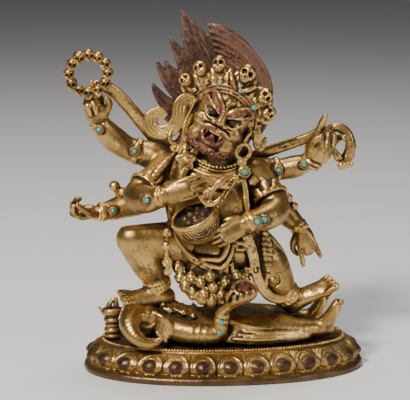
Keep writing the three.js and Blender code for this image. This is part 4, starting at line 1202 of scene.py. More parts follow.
@dataclass
class Body:
    """Torso, arms and legs of the protector."""

    arms: Arms = field(default_factory=Arms)
    voxel: float = 0.7
    right_thigh: tuple[Row, ...] = ((-12, 0, 47, 13.5), (-26, -5, 52, 12.4), (-38, -9, 55.5, 10.4),
                                    (-48, -12, 56, 8.6))
    right_shin: tuple[Row, ...] = ((-49.5, -12, 55.5, 7.8), (-45, -10.5, 49, 8.8), (-40.5, -8, 41, 8.6),
                                   (-37, -6, 34, 6.6), (-35, -4, 28, 5.7), (-34.5, -4, 23, 5.8))
    left_leg: tuple[Row, ...] = ((4, 0, 50, 13.5), (14, -2, 47.5, 13), (22, -5, 41, 11.2),
                                 (28, -4.5, 31, 9), (32, -2, 24.5, 6.8), (35.5, -1, 19, 6.0))
    right_foot: tuple[Row, ...] = ((-31.4, -3, 22.2, 5.4, 5.4), (-36.5, -5, 23.4, 6, 6.2),
                                   (-44, -8, 22.6, 6.4, 5), (-50, -10.4, 23, 6, 3.4))
    left_foot: tuple[Row, ...] = ((37, -0.4, 15.8, 5.2, 3.8), (42, -1, 19.6, 5.4, 4.4),
                                  (50, -2.6, 24, 5.6, 3), (55, -3.4, 26.4, 5.2, 2.1))

    def sculpt_upper(self) -> Clay:
        """The belly, chest and arms with their bangles and stone collars.

        Returns:
            The finished clay.
        """
        clay = Clay((-78, -34, 44), (60, 22, 124), self.voxel)
        clay.ball((-6, -4, 68), (22.5, 19, 18))
        clay.ball((-5, -1, 54), (20, 16, 13), 4)
        clay.ball((-6, -3, 88), (21.5, 13, 12), 5)
        for s in (-1, 1):
            clay.ball((-5 + s * 9, -11, 88), (8.5, 5.6, 5.6), 2.5)
            clay.ball((-5 + s * 8.6, -16.6, 86.6), 0.9, 0.5)
        clay.rope([[-5, -3, 95, 11], [-4, -5, 103, 9.5], [-3.5, -7, 109, 9]], 4)
        for name, rows in self.arms.all().items():
            clay.rope(rows, 2.6)
            last = len(rows) - 2
            place, way, radius = along(rows, last, 0.62)
            bangle(clay, place, way, radius, 0.62, 16)
            if name.startswith("upper"):
                place, way, radius = along(rows, 1, 0.65)
                bangle(clay, place, way, radius, 0.66, 20)
                root, tip = place + (0, -radius, -2), place + (0, -radius - 0.4, 6.5)
                leaf(clay, root, tip, 2.4, FRONT)
            if name.startswith("front"):
                self._armlet(clay, *along(rows, 1, 0.4))
        for x, y, z in ((-58, 0.5, 101.8), (-54.4, -0.6, 107.4)):
            clay.rope([[x - 2, y, z - 2.4, 0.3], [x, y - 1, z, 0.35], [x + 2, y, z + 2, 0.3]], 0.3,
                      carve=True)
        clay.rope([[-41, -27.4, 75, 0.4], [-38.4, -29.6, 78.6, 0.45], [-38, -29.6, 83, 0.4]], 0.3,
                  carve=True)
        for stone in body_stones():
            self._collar(clay, stone)
        return clay

    @staticmethod
    def _armlet(clay: Clay, place: np.ndarray, way: np.ndarray, radius: float) -> None:
        """A beaded band above the elbow, with three leaves that point up the arm.

        Args:
            clay: the clay that it is worked into.
            place: where its middle is.
            way: the way along the arm.
            radius: how far it reaches from its middle.
        """
        radius = radius + 1.1
        bangle(clay, place, way, radius, 0.66, 22)
        out = unit(np.array(FRONT) - way * float(np.dot(FRONT, way)))
        side = np.cross(way, out)
        for turn, length in ((-0.62, 4.6), (0.62, 4.6), (0.0, 7.0)):
            face = out * math.cos(turn) + side * math.sin(turn)
            root = place + face * (radius + 0.3) - way * 0.8
            leaf(clay, root, root - way * length, 2.3, face)
        bud(clay, place + out * (radius + 0.5) - way * 3.0, 1.5, out, 6)

    @staticmethod
    def collar_red(local: np.ndarray) -> np.ndarray:
        """Remains of red wax round the stones' collars."""
        near = np.min([np.linalg.norm(local - stone.centre, axis=1) for stone in body_stones()], axis=0)
        return 0.6 * smoothstep(3.9, 3.0, near)

    @staticmethod
    def _collar(clay: Clay, stone: StonePlace) -> None:
        """A raised setting with a beaded edge, hollowed for its stone.

        Args:
            clay: the clay that it is worked into.
            stone: the stone that it is made for.
        """
        c, n = np.array(stone.centre), unit(stone.out)
        clay.rope([[*(c - n * 2.4), stone.radius + 0.9], [*(c - n * 0.5), stone.radius + 0.5]], 0.5,
                  steps=0)
        clay.ring(c - n * 0.1, n, stone.radius + 0.55, 0.5, 0.15)
        for place in round_about(c - n * 0.7, n, (0.3, 0.1, 0.9), stone.radius + 1.3, 10):
            clay.ball(place, 0.52, 0.1)
        clay.ball(c + n * 0.2, stone.radius + 0.1, carve=True)

    def sculpt_lower(self) -> Clay:
        """The hips, legs and feet with their anklets.

        Returns:
            The finished clay.
        """
        clay = Clay((-64, -30, 8), (68, 20, 62), self.voxel)
        clay.ball((-5, -1, 52), (20.5, 16.5, 14))
        clay.rope(self.right_thigh, 4)
        clay.rope(self.left_leg, 4)
        clay.rope(self.right_shin, 2.2)
        clay.ball((-50, -14, 57), (6.6, 5.6, 5.6), 2)
        clay.rope([[-52, -17, 50, 0.8], [-49, -18.4, 52.6, 0.9], [-45.6, -18.8, 54, 0.7]], 1.2)
        for rows, before, share in ((self.right_shin, 3, 0.78), (self.left_leg, 4, 0.72)):
            place, way, radius = along(rows, before, share)
            bangle(clay, place, way, radius + 0.5, 0.85, 18)
            bangle(clay, place + way * -3.0, way, radius + 0.8, 0.7)
        self._foot(clay, self.right_foot, (-1, -0.3, 0.12), 1.2, (0, -0.4, 0.92))
        self._foot(clay, self.left_foot, (0.88, -0.14, 0.47), 1.0, (-0.36, -0.56, 0.74))
        return clay

    @staticmethod
    def _foot(clay: Clay, rows: Sequence[Row], toe_way: Row, lift: float, top: Row) -> None:
        """A plump foot with five toes, the first of them longest.

        Args:
            clay: the clay that it is worked into.
            rows: stations from heel to ball.
            toe_way: the way that the toes point.
            lift: how far the toes turn up.
            top: the way of the foot's upper side.
        """
        clay.rope(rows, 1.6, flat=top)
        way, up = unit(toe_way), unit(top)
        across = np.cross(way, up)
        root = np.array(rows[-1][:3], float)
        for i in range(-2, 3):
            start = root + across * i * 2.3 - way * 1.4
            length = 6.6 - abs(i - 1.4) * 0.7
            end = start + way * length + up * lift
            big = 1.5 if i == 2 else 1.18
            clay.rope([[*start, 1.4 * big], [*(start + 0.6 * (end - start) + up * 0.5), 1.15 * big],
                       [*end, 1.2 * big]], 0.4, steps=2)
            clay.ball(end + up * 0.9 * big - way * 0.2, (0.8, 0.8, 0.4), 0.1, carve=True)


@dataclass
class Garments:
    """Skirt, belt, sash, hem, tassels, scarves, necklaces and the garland of heads."""

    voxel: float = 0.55
    chest_voxel: float = 0.48

    def sculpt(self) -> Clay:
        """Models all that is worn round the hips.

        Returns:
            The finished clay.
        """
        clay = Clay((-40, -30, 14), (44, 14, 78), self.voxel)
        clay.ball((-5, -2.4, 50), (19.4, 17.4, 15))
        clay.rope([[-6, -5, 44, 17, 15], [-7, -8, 34, 12, 11], [-8, -10, 27, 6, 6]], 3, flat=FRONT)
        self._pleats(clay)
        self._hem(clay)
        self._belt(clay)
        self._garland(clay)
        self._tassels(clay)
        return clay

    def _pleats(self, clay: Clay) -> None:
        """Swags under the forearm, folds round the left thigh and the panel between the legs.

        Args:
            clay: the clay that it is worked into.
        """
        for k in range(2):
            drop = 3.2 * k
            clay.rope([[1.5 - 0.9 * k, -18.8 + 0.2 * k, 58.5 - 1.2 * k, 1.0],
                       [5 - 0.3 * k, -19.3 + 0.2 * k, 54.6 - drop, 1.4],
                       [10, -18.3 + 0.2 * k, 55 - drop, 1.5], [14.4, -15.8, 60.6 - 1.9 * k, 1.3],
                       [16.4, -12, 67 - 1.4 * k, 0.9]], 0.8)
        clay.ball((4, -12.2, 50), (12, 6.2, 12), 1.2)
        clay.ball((17, -11.6, 50), (6.6, 5, 14), 2)
        for lean in (0, 3.4):
            clay.rope([[-3 - lean, -19.6, 52 - lean, 0.4], [3, -19.9, 46.4 - lean, 0.5],
                       [9.6, -18.8, 46 - lean, 0.4], [14, -16.8, 50 - lean, 0.3]], 0.4, carve=True)
        for k in range(5):
            drop = 5.0 * k
            clay.rope([[17, -15.4, 60 - drop * 0.9, 1.2], [22.6, -14.2, 56 - drop, 1.7],
                       [28, -11, 50 - drop, 1.5], [31.6, -6, 45 - drop, 1.0]], 1.3)
        for k in range(8):
            x = -17 + 3.0 * k
            clay.rope([[x * 0.92 - 1, -19.4 + 0.015 * x * x, 44, 0.7],
                       [x - 1, -18.6 + 0.012 * x * x, 38, 1.25], [x * 0.86, -17.6 + 0.01 * x * x, 31, 1.15],
                       [x * 0.7 - 1, -15.6, 25, 0.8]], 0.4)
        for k in range(5):
            clay.rope([[-24 - k, -12 + 2 * k, 62, 1.0], [-27 - k * 0.6, -13 + 2.4 * k, 52, 1.4],
                       [-25 - k * 0.4, -11 + 2.6 * k, 42, 1.2], [-22, -9 + 2.6 * k, 34, 0.9]], 0.5)

    def _hem(self, clay: Clay) -> None:
        """The gold border that falls beside the left thigh and curls behind the knee.

        Args:
            clay: the clay that it is worked into.
        """
        line = [[10.4, -18.6, 58, 1], [13.6, -18.8, 48, 1], [15.4, -17.4, 38, 1], [18.4, -15.6, 30, 1],
                [24, -13, 23.5, 1], [31, -9, 21.6, 0.9], [36.5, -5, 26, 0.7]]
        fluted(clay, line, 3.1, 3, FRONT, 0.1)
        swirl = arc((25.2, -14.4, 33), (1, 0, 0), UP, 4.2, 200, -70, 9)
        clay.rope([[*p, 1.5 - 0.07 * i] for i, p in enumerate(swirl)], 0.3)
        clay.ball((25, -14.8, 33), (2.1, 1.6, 2.1), 0.3)
        for z in (54, 49, 44, 39.4):
            clay.ball((14 + (49 - z) * 0.12, -19.6, z), (0.9, 0.6, 1.2), 0.2)

    def _belt(self, clay: Clay) -> None:
        """The rolled edge under the belly and the sash that bends up to the wrist.

        Args:
            clay: the clay that it is worked into.
        """
        edge = [[-29, -8.6, 74, 1.2], [-28.4, -13, 64, 1.3], [-25.4, -16.6, 55, 1.4],
                [-18, -19.2, 47.4, 1.4], [-9, -20.6, 44, 1.3], [2, -19.6, 46, 1.2]]
        clay.rope(edge, 0.3)
        clay.rope([[r[0] * 0.95, r[1] + 0.4, r[2] - 3, 0.8] for r in edge], 0.3)
        fluted(clay, [[-15, -20.8, 47, 0.7], [-9, -22.4, 46.6, 1], [-3.6, -22.8, 46.8, 1],
                      [-0.6, -22.2, 51.6, 1], [0.6, -21.4, 55.6, 0.8]], 1.5, 2, FRONT, 0.1)
        fluted(clay, [[-13.4, -20.4, 43.8, 0.7], [-7, -22, 42.4, 1], [-2.2, -22.2, 42.4, 1],
                      [1.6, -21.8, 48.4, 1], [3, -21, 53.6, 0.8]], 1.3, 2, FRONT, 0.1)
        clay.ball((-15.4, -20.8, 45.2), (2.4, 1.8, 2.2), 0.4)

    def _garland(self, clay: Clay) -> None:
        """Severed heads on a cord, hanging before the shins.

        Args:
            clay: the clay that it is worked into.
        """
        for k in range(11):
            a = math.radians(-176 + 16.6 * k)
            centre = np.array((-7 + 18.2 * math.cos(a), -14.4 + 6 * math.sin(a), 42 + 18 * math.sin(a)))
            out = unit((0.5 * math.cos(a), -1, 0.25 * math.sin(a)))
            self._severed_head(clay, centre, 3.2, out)
        for centre in ((-14, -20.4, 34), (-7.6, -21.6, 31.4), (-1, -20.6, 33.6), (-18.8, -19, 36),
                       (-12.4, -21.4, 28), (-3.2, -21.4, 27.4), (3.4, -19.8, 30), (-9, -21.4, 37.4),
                       (5, -19, 36.6)):
            self._severed_head(clay, np.array(centre), 3.1, FRONT)

    @staticmethod
    def _severed_head(clay: Clay, centre: np.ndarray, size: float, out: Row) -> None:
        """A small head with eyes, nose and a topknot.

        Args:
            clay: the clay that it is worked into.
            centre: where its middle is.
            size: how large it is.
            out: the way that its face points.
        """
        f = unit(out)
        u = square_to(UP, f)
        side = np.cross(u, f)
        clay.ball(centre, (size, size, size * 1.08), 0.3)
        clay.ball(centre + u * size * 0.92, size * 0.42, 0.3)
        bridge, tip = centre + f * size * 0.95 + u * 0.6, centre + f * size * 1.12 - u * 0.5
        clay.rope([[*bridge, 0.35], [*tip, 0.55]], 0.2, steps=0)
        for s in (-1, 1):
            clay.ball(centre + f * size * 0.93 + side * s * size * 0.4 + u * size * 0.18, 0.62, 0.1,
                      carve=True)
            clay.ball(centre + side * s * size * 1.0, size * 0.3, 0.2)
        mouth = centre + f * size * 0.93 - u * size * 0.5
        clay.rope([[*(mouth - side * 1.1), 0.34], [*(mouth + side * 1.1), 0.34]], 0.1, steps=0, carve=True)
        clay.ring(centre + u * size * 0.5, u + f * 0.2, size * 0.86, 0.36, 0.1)

    def _tassels(self, clay: Clay) -> None:
        """Braided tassels beside the left thigh and inside the raised knee.

        Args:
            clay: the clay that it is worked into.
        """
        for k in range(8):
            z = 59.4 - 2.8 * k
            r = (1.7, 2.4, 2.9, 3.1, 3.1, 2.8, 2.3, 1.5)[k]
            middle = 20.3 + 0.25 * k
            for x in (middle - 0.42 * r, middle + 0.42 * r):
                clay.ball((x, -17.6, z - 0.3 * (x > 20.5)), (r * 0.62, r * 0.8, 1.75), 0.35)
        clay.rope([[20.4, -16, 64, 0.8], [20.4, -17, 60, 1.0]], 0.3, steps=0)
        line = [[-30, -15, 65], [-31.2, -18.4, 59], [-31.6, -19, 52], [-31.2, -18.6, 44],
                [-30.6, -17.6, 36.4]]
        self._beads(clay, line, 1.5, 2.3)
        for x, y, z, r in ((-31.4, -19, 60.6, 2.4), (-31.8, -19.2, 53.4, 2.2), (-31.2, -18.6, 44.6, 2.7),
                           (-30.8, -18, 39.6, 2.2)):
            bud(clay, (x, y - 0.6, z), r, FRONT, 7)

    def sculpt_chest(self) -> Clay:
        """Scarf folds, necklaces, pendant, cords, the flower at the shoulder and the snake.

        Returns:
            The finished clay.
        """
        clay = Clay((-46, -30, 66), (30, 8, 118), self.chest_voxel)
        for k in range(6):
            clay.rope([[-8 - 1.6 * k, -10.4 - 0.3 * k, 108.4 - 0.8 * k, 1.2],
                       [-16.6 - 1.0 * k, -14.4 - 0.5 * k, 103 - 2.1 * k, 1.5],
                       [-23.6 - 0.5 * k, -15.2 - 0.4 * k, 96.6 - 2.4 * k, 1.5],
                       [-28, -11.4, 88 - 1.9 * k, 1.1]], 0.3)
        for k in range(4):
            clay.rope([[-17 + 1.4 * k, -16.6, 93 - 1.6 * k, 0.8], [-10 + 1.2 * k, -19.4, 90.5 - 2 * k, 1.0],
                       [-2 + k, -20, 90 - 2 * k, 0.9]], 0.3)
        collar = [[-19, -11, 101], [-13, -15, 96.4], [-5, -17, 94], [4, -15.8, 95], [11, -11.6, 99]]
        fluted(clay, [[-18.5, -13, 104, 0.8], [-22, -14, 98, 1], [-24.6, -13.6, 91, 1.05],
                      [-26, -12, 85, 0.8]], 4.8, 5, FRONT, 0.1)
        self._beads(clay, collar, 0.95, 1.9)
        clay.rope([[x, y + 0.6, z - 1.9, 0.7] for x, y, z in collar], 0.2)
        self._beads(clay, [[-21, -12, 96], [-14, -16.6, 88.6], [-6, -19, 85.6], [3, -18, 88],
                           [10, -14, 93]], 0.8, 1.8)
        star = np.array((-21.4, -17.2, 98.0))
        for tip in arc(star, (1, 0, 0), UP, 5.6, 18, 306, 5):
            leaf(clay, star + 0.15 * (np.array(tip) - star), tip, 2.3, FRONT, 0.15)
        bud(clay, star + np.array((0, -1.3, 0)), 1.7, FRONT, 6)
        bud(clay, (-21.6, -16.4, 104.2), 1.9, FRONT)
        bud(clay, (9.2, -15.8, 91.4), 3.5, (0.1, -1, 0.1), 8)
        clay.ball((9.2, -14.4, 91.4), 3.3, 0.4)
        clay.ball((14, -13, 86.4), 3, 0.4)
        bud(clay, (14, -14.6, 86.4), 2.6, (0.3, -1, 0), 7)
        fluted(clay, [[8.8, -15, 88, 0.9], [9.8, -16, 81, 1], [10.4, -18.4, 73, 1], [11, -19.4, 68, 0.9]],
               1.5, 3, FRONT, 0.15)
        for shift in (0, 2.2):
            self._beads(clay, [[6.4 - shift, -16.8, 90], [1.6 - shift, -19.6, 83],
                               [-3.4 - shift, -23, 76.6], [-8 - shift, -25, 72]], 0.62, 1.35)
        snake = [[-27, -11, 100, 1.6], [-32, -13.4, 96, 2.2], [-36.4, -14.6, 91, 2.4],
                 [-38.6, -14.8, 86, 2.2], [-35.6, -17.4, 82.6, 1.8], [-31.6, -17.4, 84.8, 1.3]]
        clay.rope(snake, 0.4)
        for place in spline(snake, 5)[2:-3:2]:
            clay.ring(place[:3], (0.7, 0.1, 0.7), place[3] + 0.1, 0.3, 0.1)
        clay.ball((-30.6, -17.6, 86), (1.9, 1.6, 1.5), 0.4)
        return clay

    @staticmethod
    def _beads(clay: Clay, line: Sequence[Row], radius: float, pitch: float) -> None:
        """A string of beads along a smooth curve."""
        rows = spline(line, 24)
        walked = walked_along(rows)
        for length in np.arange(0, walked[-1], pitch):
            place = [np.interp(length, walked, rows[:, i]) for i in range(3)]
            clay.ball(place, radius, 0.12)


@dataclass
class Trimmings:
    """The diadem's ribbons, the earrings and what hangs from them."""

    voxel: float = 0.42
    earring: float = 3.9

    def sculpt(self) -> Clay:
        """Models the ribbons and earrings.

        Returns:
            The finished clay.
        """
        clay = Clay((-44, -22, 92), (28, 2, 134), self.voxel)
        fall = [[-16, -9, 125.6, 0.7], [-19.6, -9.6, 129, 0.9], [-23.6, -10, 126, 1], [-24.6, -11, 119, 1],
                [-28, -11, 113.6, 1], [-34, -10, 111.6, 1], [-38.6, -9, 114.6, 1],
                [-38.6, -8.6, 119.6, 0.95], [-34.6, -8.6, 121.8, 0.8], [-31.6, -9, 119.6, 0.6]]
        fluted(clay, fall, 4.1, 4, FRONT, 0.1)
        fluted(clay, [[-18, -10, 121, 0.7], [-21, -11.6, 114, 0.9], [-22, -12, 107, 0.9],
                      [-25, -12, 102, 0.6]], 2.2, 2, FRONT, 0.1)
        fluted(clay, [[13, -7, 120, 0.7], [16.4, -9, 112, 0.9], [16.6, -9, 104.6, 1],
                      [18.6, -7.6, 102.6, 0.9], [21.6, -6, 107.6, 0.5]], 2.4, 3, FRONT, 0.1)
        for centre, axis in (((-25.9, -10.6, 109.4), (0.5, -1, 0.1)), ((8.4, -15.4, 102), (0.15, -1, 0.1))):
            clay.ring(centre, axis, self.earring, 1.0)
            for place in round_about(centre, axis, UP, self.earring, 24):
                clay.ring(place, np.cross(unit(axis), place - centre), 1.0, 0.22, 0.08)
            x, y, z = centre
            bud(clay, (x - 0.6, y - 0.6, z - 5.6), 2.5, FRONT, 7)
            clay.rope([[x - 0.6, y, z - 7, 1.5], [x - 1.2, y, z - 11, 0.6]], 0.3)
        clay.rope([[-15.4, -8.6, 115, 1.6], [-20, -9.6, 114.4, 1.3], [-25.5, -10.4, 113.2, 1.1]], 0.3)
        clay.rope([[10.5, -10.4, 110, 1.6], [9.4, -13.4, 107, 1.3], [8.5, -15.2, 105.6, 1.1]], 0.3)
        return clay


@dataclass
class Hide:
    """The elephant's hide down the back, with two legs held up in the upper hands."""

    voxel: float = 0.75

    def sculpt(self) -> Clay:
        """Models the hide, the held legs and the curled tip on the left.

        Returns:
            The finished clay.
        """
        clay = Clay((-72, -6, 28), (78, 24, 144), self.voxel)
        clay.rope([[-6, 9, 103, 15, 2.2], [-6, 12, 92, 23, 2.4], [-6, 13.6, 74, 25, 2.6],
                   [-5, 13, 56, 22, 2.6], [-4, 11, 40, 15, 2.2]], 1, flat=(0, 1, 0))
        for spread, size in ((-19, 2.6), (-9.5, 3.0), (1.5, 2.8), (11, 2.6), (18, 2.2)):
            bow = 0.006 * spread * spread
            clay.rope([[-6 + spread * 0.5, 10.8, 103, size * 0.6], [-6 + spread * 0.9, 14 - bow, 90, size],
                       [-6 + spread * 1.02, 15.4 - bow, 70, size * 1.05],
                       [-5 + spread * 0.92, 14.4 - bow, 50, size],
                       [-4 + spread * 0.66, 12, 36, size * 0.7]], 2.6)
        for k in range(6):
            x = -15.5 + 4.6 * k
            clay.ball((x, 12.4 - 0.012 * (x + 4) ** 2, 33.5 + 0.05 * (x + 4) ** 2), (2.6, 2.0, 3.4), 1.2)
        for level in (84, 66, 50):
            clay.rope([[-24, 13.4, level, 0.3], [-12, 16.6, level - 2.6, 0.45], [0, 17, level - 2.8, 0.45],
                       [12, 14, level, 0.3]], 0.5, carve=True)
        clay.rope([[-18, 9, 92, 6.2, 2], [-30, 10.4, 101, 5.2, 1.7], [-42, 9.4, 113.4, 4.0, 1.6],
                   [-53, 7, 126.6, 3.6, 1.6], [-60, 4.4, 133, 3.4, 1.5], [-66.4, 2.6, 135, 2.8, 1.4]], 0.8,
                  flat=(0.3, 1, -0.1))
        clay.rope([[-30, 8.6, 99.6, 0.5], [-42, 7.6, 112.6, 0.5], [-53, 5.2, 126, 0.5]], 0.4, carve=True)
        clay.rope([[10, 9, 90, 5, 2], [21, 9.5, 96.4, 3.4, 1.7], [33, 8.2, 100.8, 3, 1.6],
                   [45, 5.4, 105.4, 2.8, 1.5], [52.6, 2.4, 110.4, 2.5, 1.5]], 0.8, flat=(0.1, 1, 0))
        clay.rope([[22, 7.8, 96.4, 0.4], [34, 6.5, 101, 0.4], [45, 3.9, 105.4, 0.4]], 0.3, carve=True)
        curl = [[51.5, 3, 105, 1.9], [56, 3.2, 110, 2.3], [61, 2.8, 111.4, 2.6], [65.4, 2.4, 108.4, 2.8],
                [67.6, 2, 102.6, 2.9], [67, 2, 98, 2.9], [64.8, 2, 94, 2.9]]
        clay.rope(curl, 0.5)
        for row in spline(curl, 3)[3::2]:
            clay.ring(row[:3], (0.1, 0, 1), row[3] + 0.05, 0.28, 0.1)
        for x, y, z, r in ((60.6, 1, 95.6, 2.3), (62.6, -0.4, 91.4, 2.4), (66.6, 0.4, 92, 2.4),
                           (68, 1.6, 96, 2)):
            bud(clay, (x, y - 0.8, z), r, (0, -1, 0), 6)
            clay.ball((x, y + 0.4, z), r * 0.9, 0.4)
        clay.rope([[57.6, 1, 100.5, 1.4], [60.5, 1, 96.5, 1.9]], 0.3)
        for x, z, r in ((-57.5, 80.4, 3), (-53.4, 77.4, 2.6)):
            clay.ball((x, 8, z), r, 0.5)
            bud(clay, (x, 5.8, z), r * 0.85, FRONT, 6)
        clay.rope([[-54, 9, 72, 1.8], [-56, 8.5, 77, 1.6]], 0.4)
        for x, z, r in ((35, 72.4, 3), (38.6, 68, 2.4)):
            clay.ball((x, 8.4, z), r, 0.5)
            bud(clay, (x, 6.4, z), r * 0.85, FRONT, 6)
        return clay


@dataclass
class Attributes:
    """What he holds: the skull cup and the chopper over it."""

    voxel: float = 0.45
    cup_centre: tuple[float, float, float] = (-18.0, -30.0, 71.0)
    cup_axis: tuple[float, float, float] = (-0.38, -0.3, 0.87)
    cup_radius: float = 12.5

    def sculpt(self) -> Clay:
        """Models the cup with its combed hair, its contents and the chopper.

        Returns:
            The finished clay.
        """
        clay = Clay((-36, -43, 52), (6, -14, 98), self.voxel)
        c, n = np.array(self.cup_centre), unit(self.cup_axis)
        r = self.cup_radius
        x = square_to((1, 0, 0.1), n)
        turn = np.stack([x, np.cross(n, x), n], 1)
        clay.ball(c - n * 1.2, (r, r * 0.98, r * 1.16), turn=turn)
        facing = unit((0.16, -0.95, -0.26))
        for k in range(6):
            t = math.radians(10 + 8.5 * k)
            reach = r + 0.35
            clay.ring(c + facing * reach * math.cos(t), facing, reach * math.sin(t), 0.75, 0.15, carve=True)
        clay.ball(c + n * 40, 40, 0.4, carve=True)
        clay.ball(c + n * 1.4, (r - 1.9, r - 1.9, r * 0.62), 0.5, turn=turn, carve=True)
        clay.ring(c + n * 0.1, n, r - 0.7, 0.95, 0.2)
        clay.ball(c - n * 2.4, (r - 1.6, r - 1.6, 3.4), 0.5, turn=turn)
        for k in range(9):
            a = k * 2.4
            spot = c + (x * math.cos(a) + turn[:, 1] * math.sin(a)) * (2 + 0.85 * k) * 0.9 + n * 0.4
            clay.ball(spot, 2.1, 0.9)
        blade = []
        for a in np.linspace(195, 345, 9):
            t = math.radians(a)
            place = (-10.4 + 5.2 * math.cos(t), -36.4, 83.6 + 5.0 * math.sin(t))
            blade.append([*place, 1.7 - 1.2 * abs(a - 270) / 75, 0.7])
        clay.rope(blade, 0.3, flat=FRONT)
        clay.rope([[-10.4, -36.2, 79.4, 1.0], [-10.2, -35.4, 83, 1.2], [-8.2, -34.4, 86.6, 1.6],
                   [-5, -33.8, 89.4, 2.4], [-2, -33, 91.4, 1.2]], 0.3)
        for place in ((-9.6, -33.6, 85.4), (-6.6, -33.4, 88.2)):
            clay.ring(place, (0.7, 0, 0.7), 2.1, 0.5, 0.1)
        return clay

    def dark(self, local: np.ndarray) -> np.ndarray:
        """The dull contents of the cup.

        Args:
            local: places in the clay's own frame, one a row.

        Returns:
            One share between 0 and 1 for each place.
        """
        n = unit(self.cup_axis)
        offset = local - np.array(self.cup_centre)
        level = offset @ n
        out = np.linalg.norm(offset - level[:, None] * n, axis=1)
        inside = smoothstep(self.cup_radius - 1.6, self.cup_radius - 2.6, out)
        inside = inside * smoothstep(-5.5, -3.5, level)
        wall = smoothstep(self.cup_radius - 1.2, self.cup_radius - 0.4, np.linalg.norm(offset, axis=1))
        return inside * smoothstep(4.5, 3.5, level) * 0.8 + 0.35 * wall * smoothstep(-1.6, -2.4, level)


@dataclass
class Hair:
    """The flaming hair: a plate of combed locks with tongues that blow to one side."""

    voxel: float = 0.6
    plate: tuple[Row, ...] = ((3, 8, 104, 10, 1.6), (0, 8.4, 112, 17, 2.2), (-2.6, 8.4, 122, 22.5, 2.6),
                              (-2.6, 8.2, 132, 23.5, 2.4), (-1, 7.8, 142, 20, 2.0), (0, 7, 151, 13, 1.6))
    tongues: tuple[tuple[Row, ...], ...] = (
        ((-21.6, 5, 172.4, 0.9), (-20, 5.3, 169.4, 2.2), (-17.4, 5.8, 164.6, 3.9), (-14.2, 6.4, 159, 5.4),
         (-9.6, 7.2, 150, 7), (-3, 8, 138, 8)),
        ((-8, 5, 165.8, 0.9), (-4.8, 5.5, 164.4, 2.2), (-0.6, 6.2, 160.6, 4.4), (4, 7, 154, 6.8),
         (7.6, 8, 144, 9), (7, 8.4, 130, 10)),
        ((-27.6, 5, 158.8, 0.9), (-26, 5.5, 155.4, 1.9), (-23, 6.2, 150.6, 3.4), (-18.4, 7, 143.6, 5),
         (-11, 8, 134, 7)),
        ((-21.2, 5.4, 160.6, 0.8), (-20, 5.8, 158, 1.5), (-17.6, 6.4, 153, 2.7), (-12.6, 7.4, 145, 4.4)),
        ((-34.6, 5, 146.4, 0.9), (-33, 5.5, 143, 1.9), (-30, 6.2, 138, 3.2), (-24.6, 7.2, 132, 4.6),
         (-15, 8, 125, 6)),
        ((-30.6, 5.4, 147, 0.8), (-29, 5.9, 144.2, 1.5), (-25.6, 6.8, 140, 2.8), (-18, 7.6, 134, 4.6)),
        ((-37, 5, 135, 0.9), (-35.6, 5.5, 132, 1.9), (-32.6, 6.4, 127.4, 3.1), (-27, 7.2, 122, 4.4),
         (-17, 8, 116, 6)),
        ((-35.4, 6, 122.8, 0.8), (-32.8, 6.6, 120, 1.6), (-27.6, 7.4, 116.6, 3), (-17, 8, 111, 5)),
    )
    edge: tuple[Row, ...] = ((-8, 5, 166, 0.9), (-1, 6, 163.4, 1.7), (9, 6.8, 157, 2.1),
                             (17.6, 7.4, 148, 2.2), (23.4, 7.8, 138, 2.3), (25.2, 8, 127, 2.2),
                             (22.8, 8, 114, 2), (17, 8, 104, 1.6))

    def sculpt(self) -> Clay:
        """Models the plate, the edge roll, the tongues and the engraved locks.

        Returns:
            The finished clay.
        """
        clay = Clay((-44, -3, 94), (34, 18, 176), self.voxel)
        clay.rope(self.plate, 0, flat=FRONT)
        for rows in self.tongues:
            clay.rope([[*row, max(0.8, min(row[3], 2.0))] for row in rows], 0.8, flat=FRONT)
            for shift in (-1.1, 1.2):
                strands = [[row[0], row[1] + shift, row[2], row[3] / 8] for row in rows]
                fluted(clay, strands, 7.2, 5, FRONT, 0.12)
            self._comb(clay, rows)
        for k in range(9):
            share = 1 - 0.085 * k
            wave = 0.25 * math.sin(2.1 * k) + 0.06 * k
            for shift in (-1.3, 1.3):
                clay.rope([[2 + (x - 2) * share, y + wave + shift, 126 + (z - 126) * share, r * 0.74]
                           for x, y, z, r in self.edge], 0.12)
        self._engraving(clay)
        return clay

    @staticmethod
    def _comb(clay: Clay, rows: Sequence[Row]) -> None:
        """Wavy grooves from a tongue's root to its tip, on both faces.

        Args:
            clay: the clay that it is worked into.
            rows: the tongue's stations.
        """
        line = spline(rows, 4)
        runs = np.gradient(line[:, :3], axis=0)
        for share in (-0.68, -0.36, -0.06, 0.26, 0.58):
            groove = []
            for i, (row, run) in enumerate(zip(line, runs)):
                across = unit(np.cross(unit(run), FRONT))
                wave = 0.08 * math.sin(0.9 * i + 9 * share)
                groove.append(row[:3] + across * row[3] * (share + wave))
            for depth in (-2.2, 2.2):
                cutter = [[x, y + depth * min(1, row[3] / 4 + 0.35), z, 0.62]
                          for (x, y, z), row in zip(groove, line)]
                clay.rope(cutter, 0.25, steps=0, carve=True)

    def _engraving(self, clay: Clay) -> None:
        """Combed grooves on both faces, from the nape up to the tips.

        Args:
            clay: the clay that it is worked into.
        """
        for k in range(15):
            spread = (k - 7) / 7
            for y in (5.2, 11.4):
                clay.rope([[4 + 8 * spread, y, 104, 0.3], [-1 + 18 * spread, y, 117, 0.36],
                           [-3 + 22 * spread, y, 130, 0.36], [-5 + 17 * spread, y, 144, 0.34],
                           [-10 + 8 * spread, y - 1.4, 158, 0.3]], 0.3, carve=True)

    @staticmethod
    def red(local: np.ndarray) -> np.ndarray:
        """Cold paint covers all of the hair."""
        return np.ones(len(local))


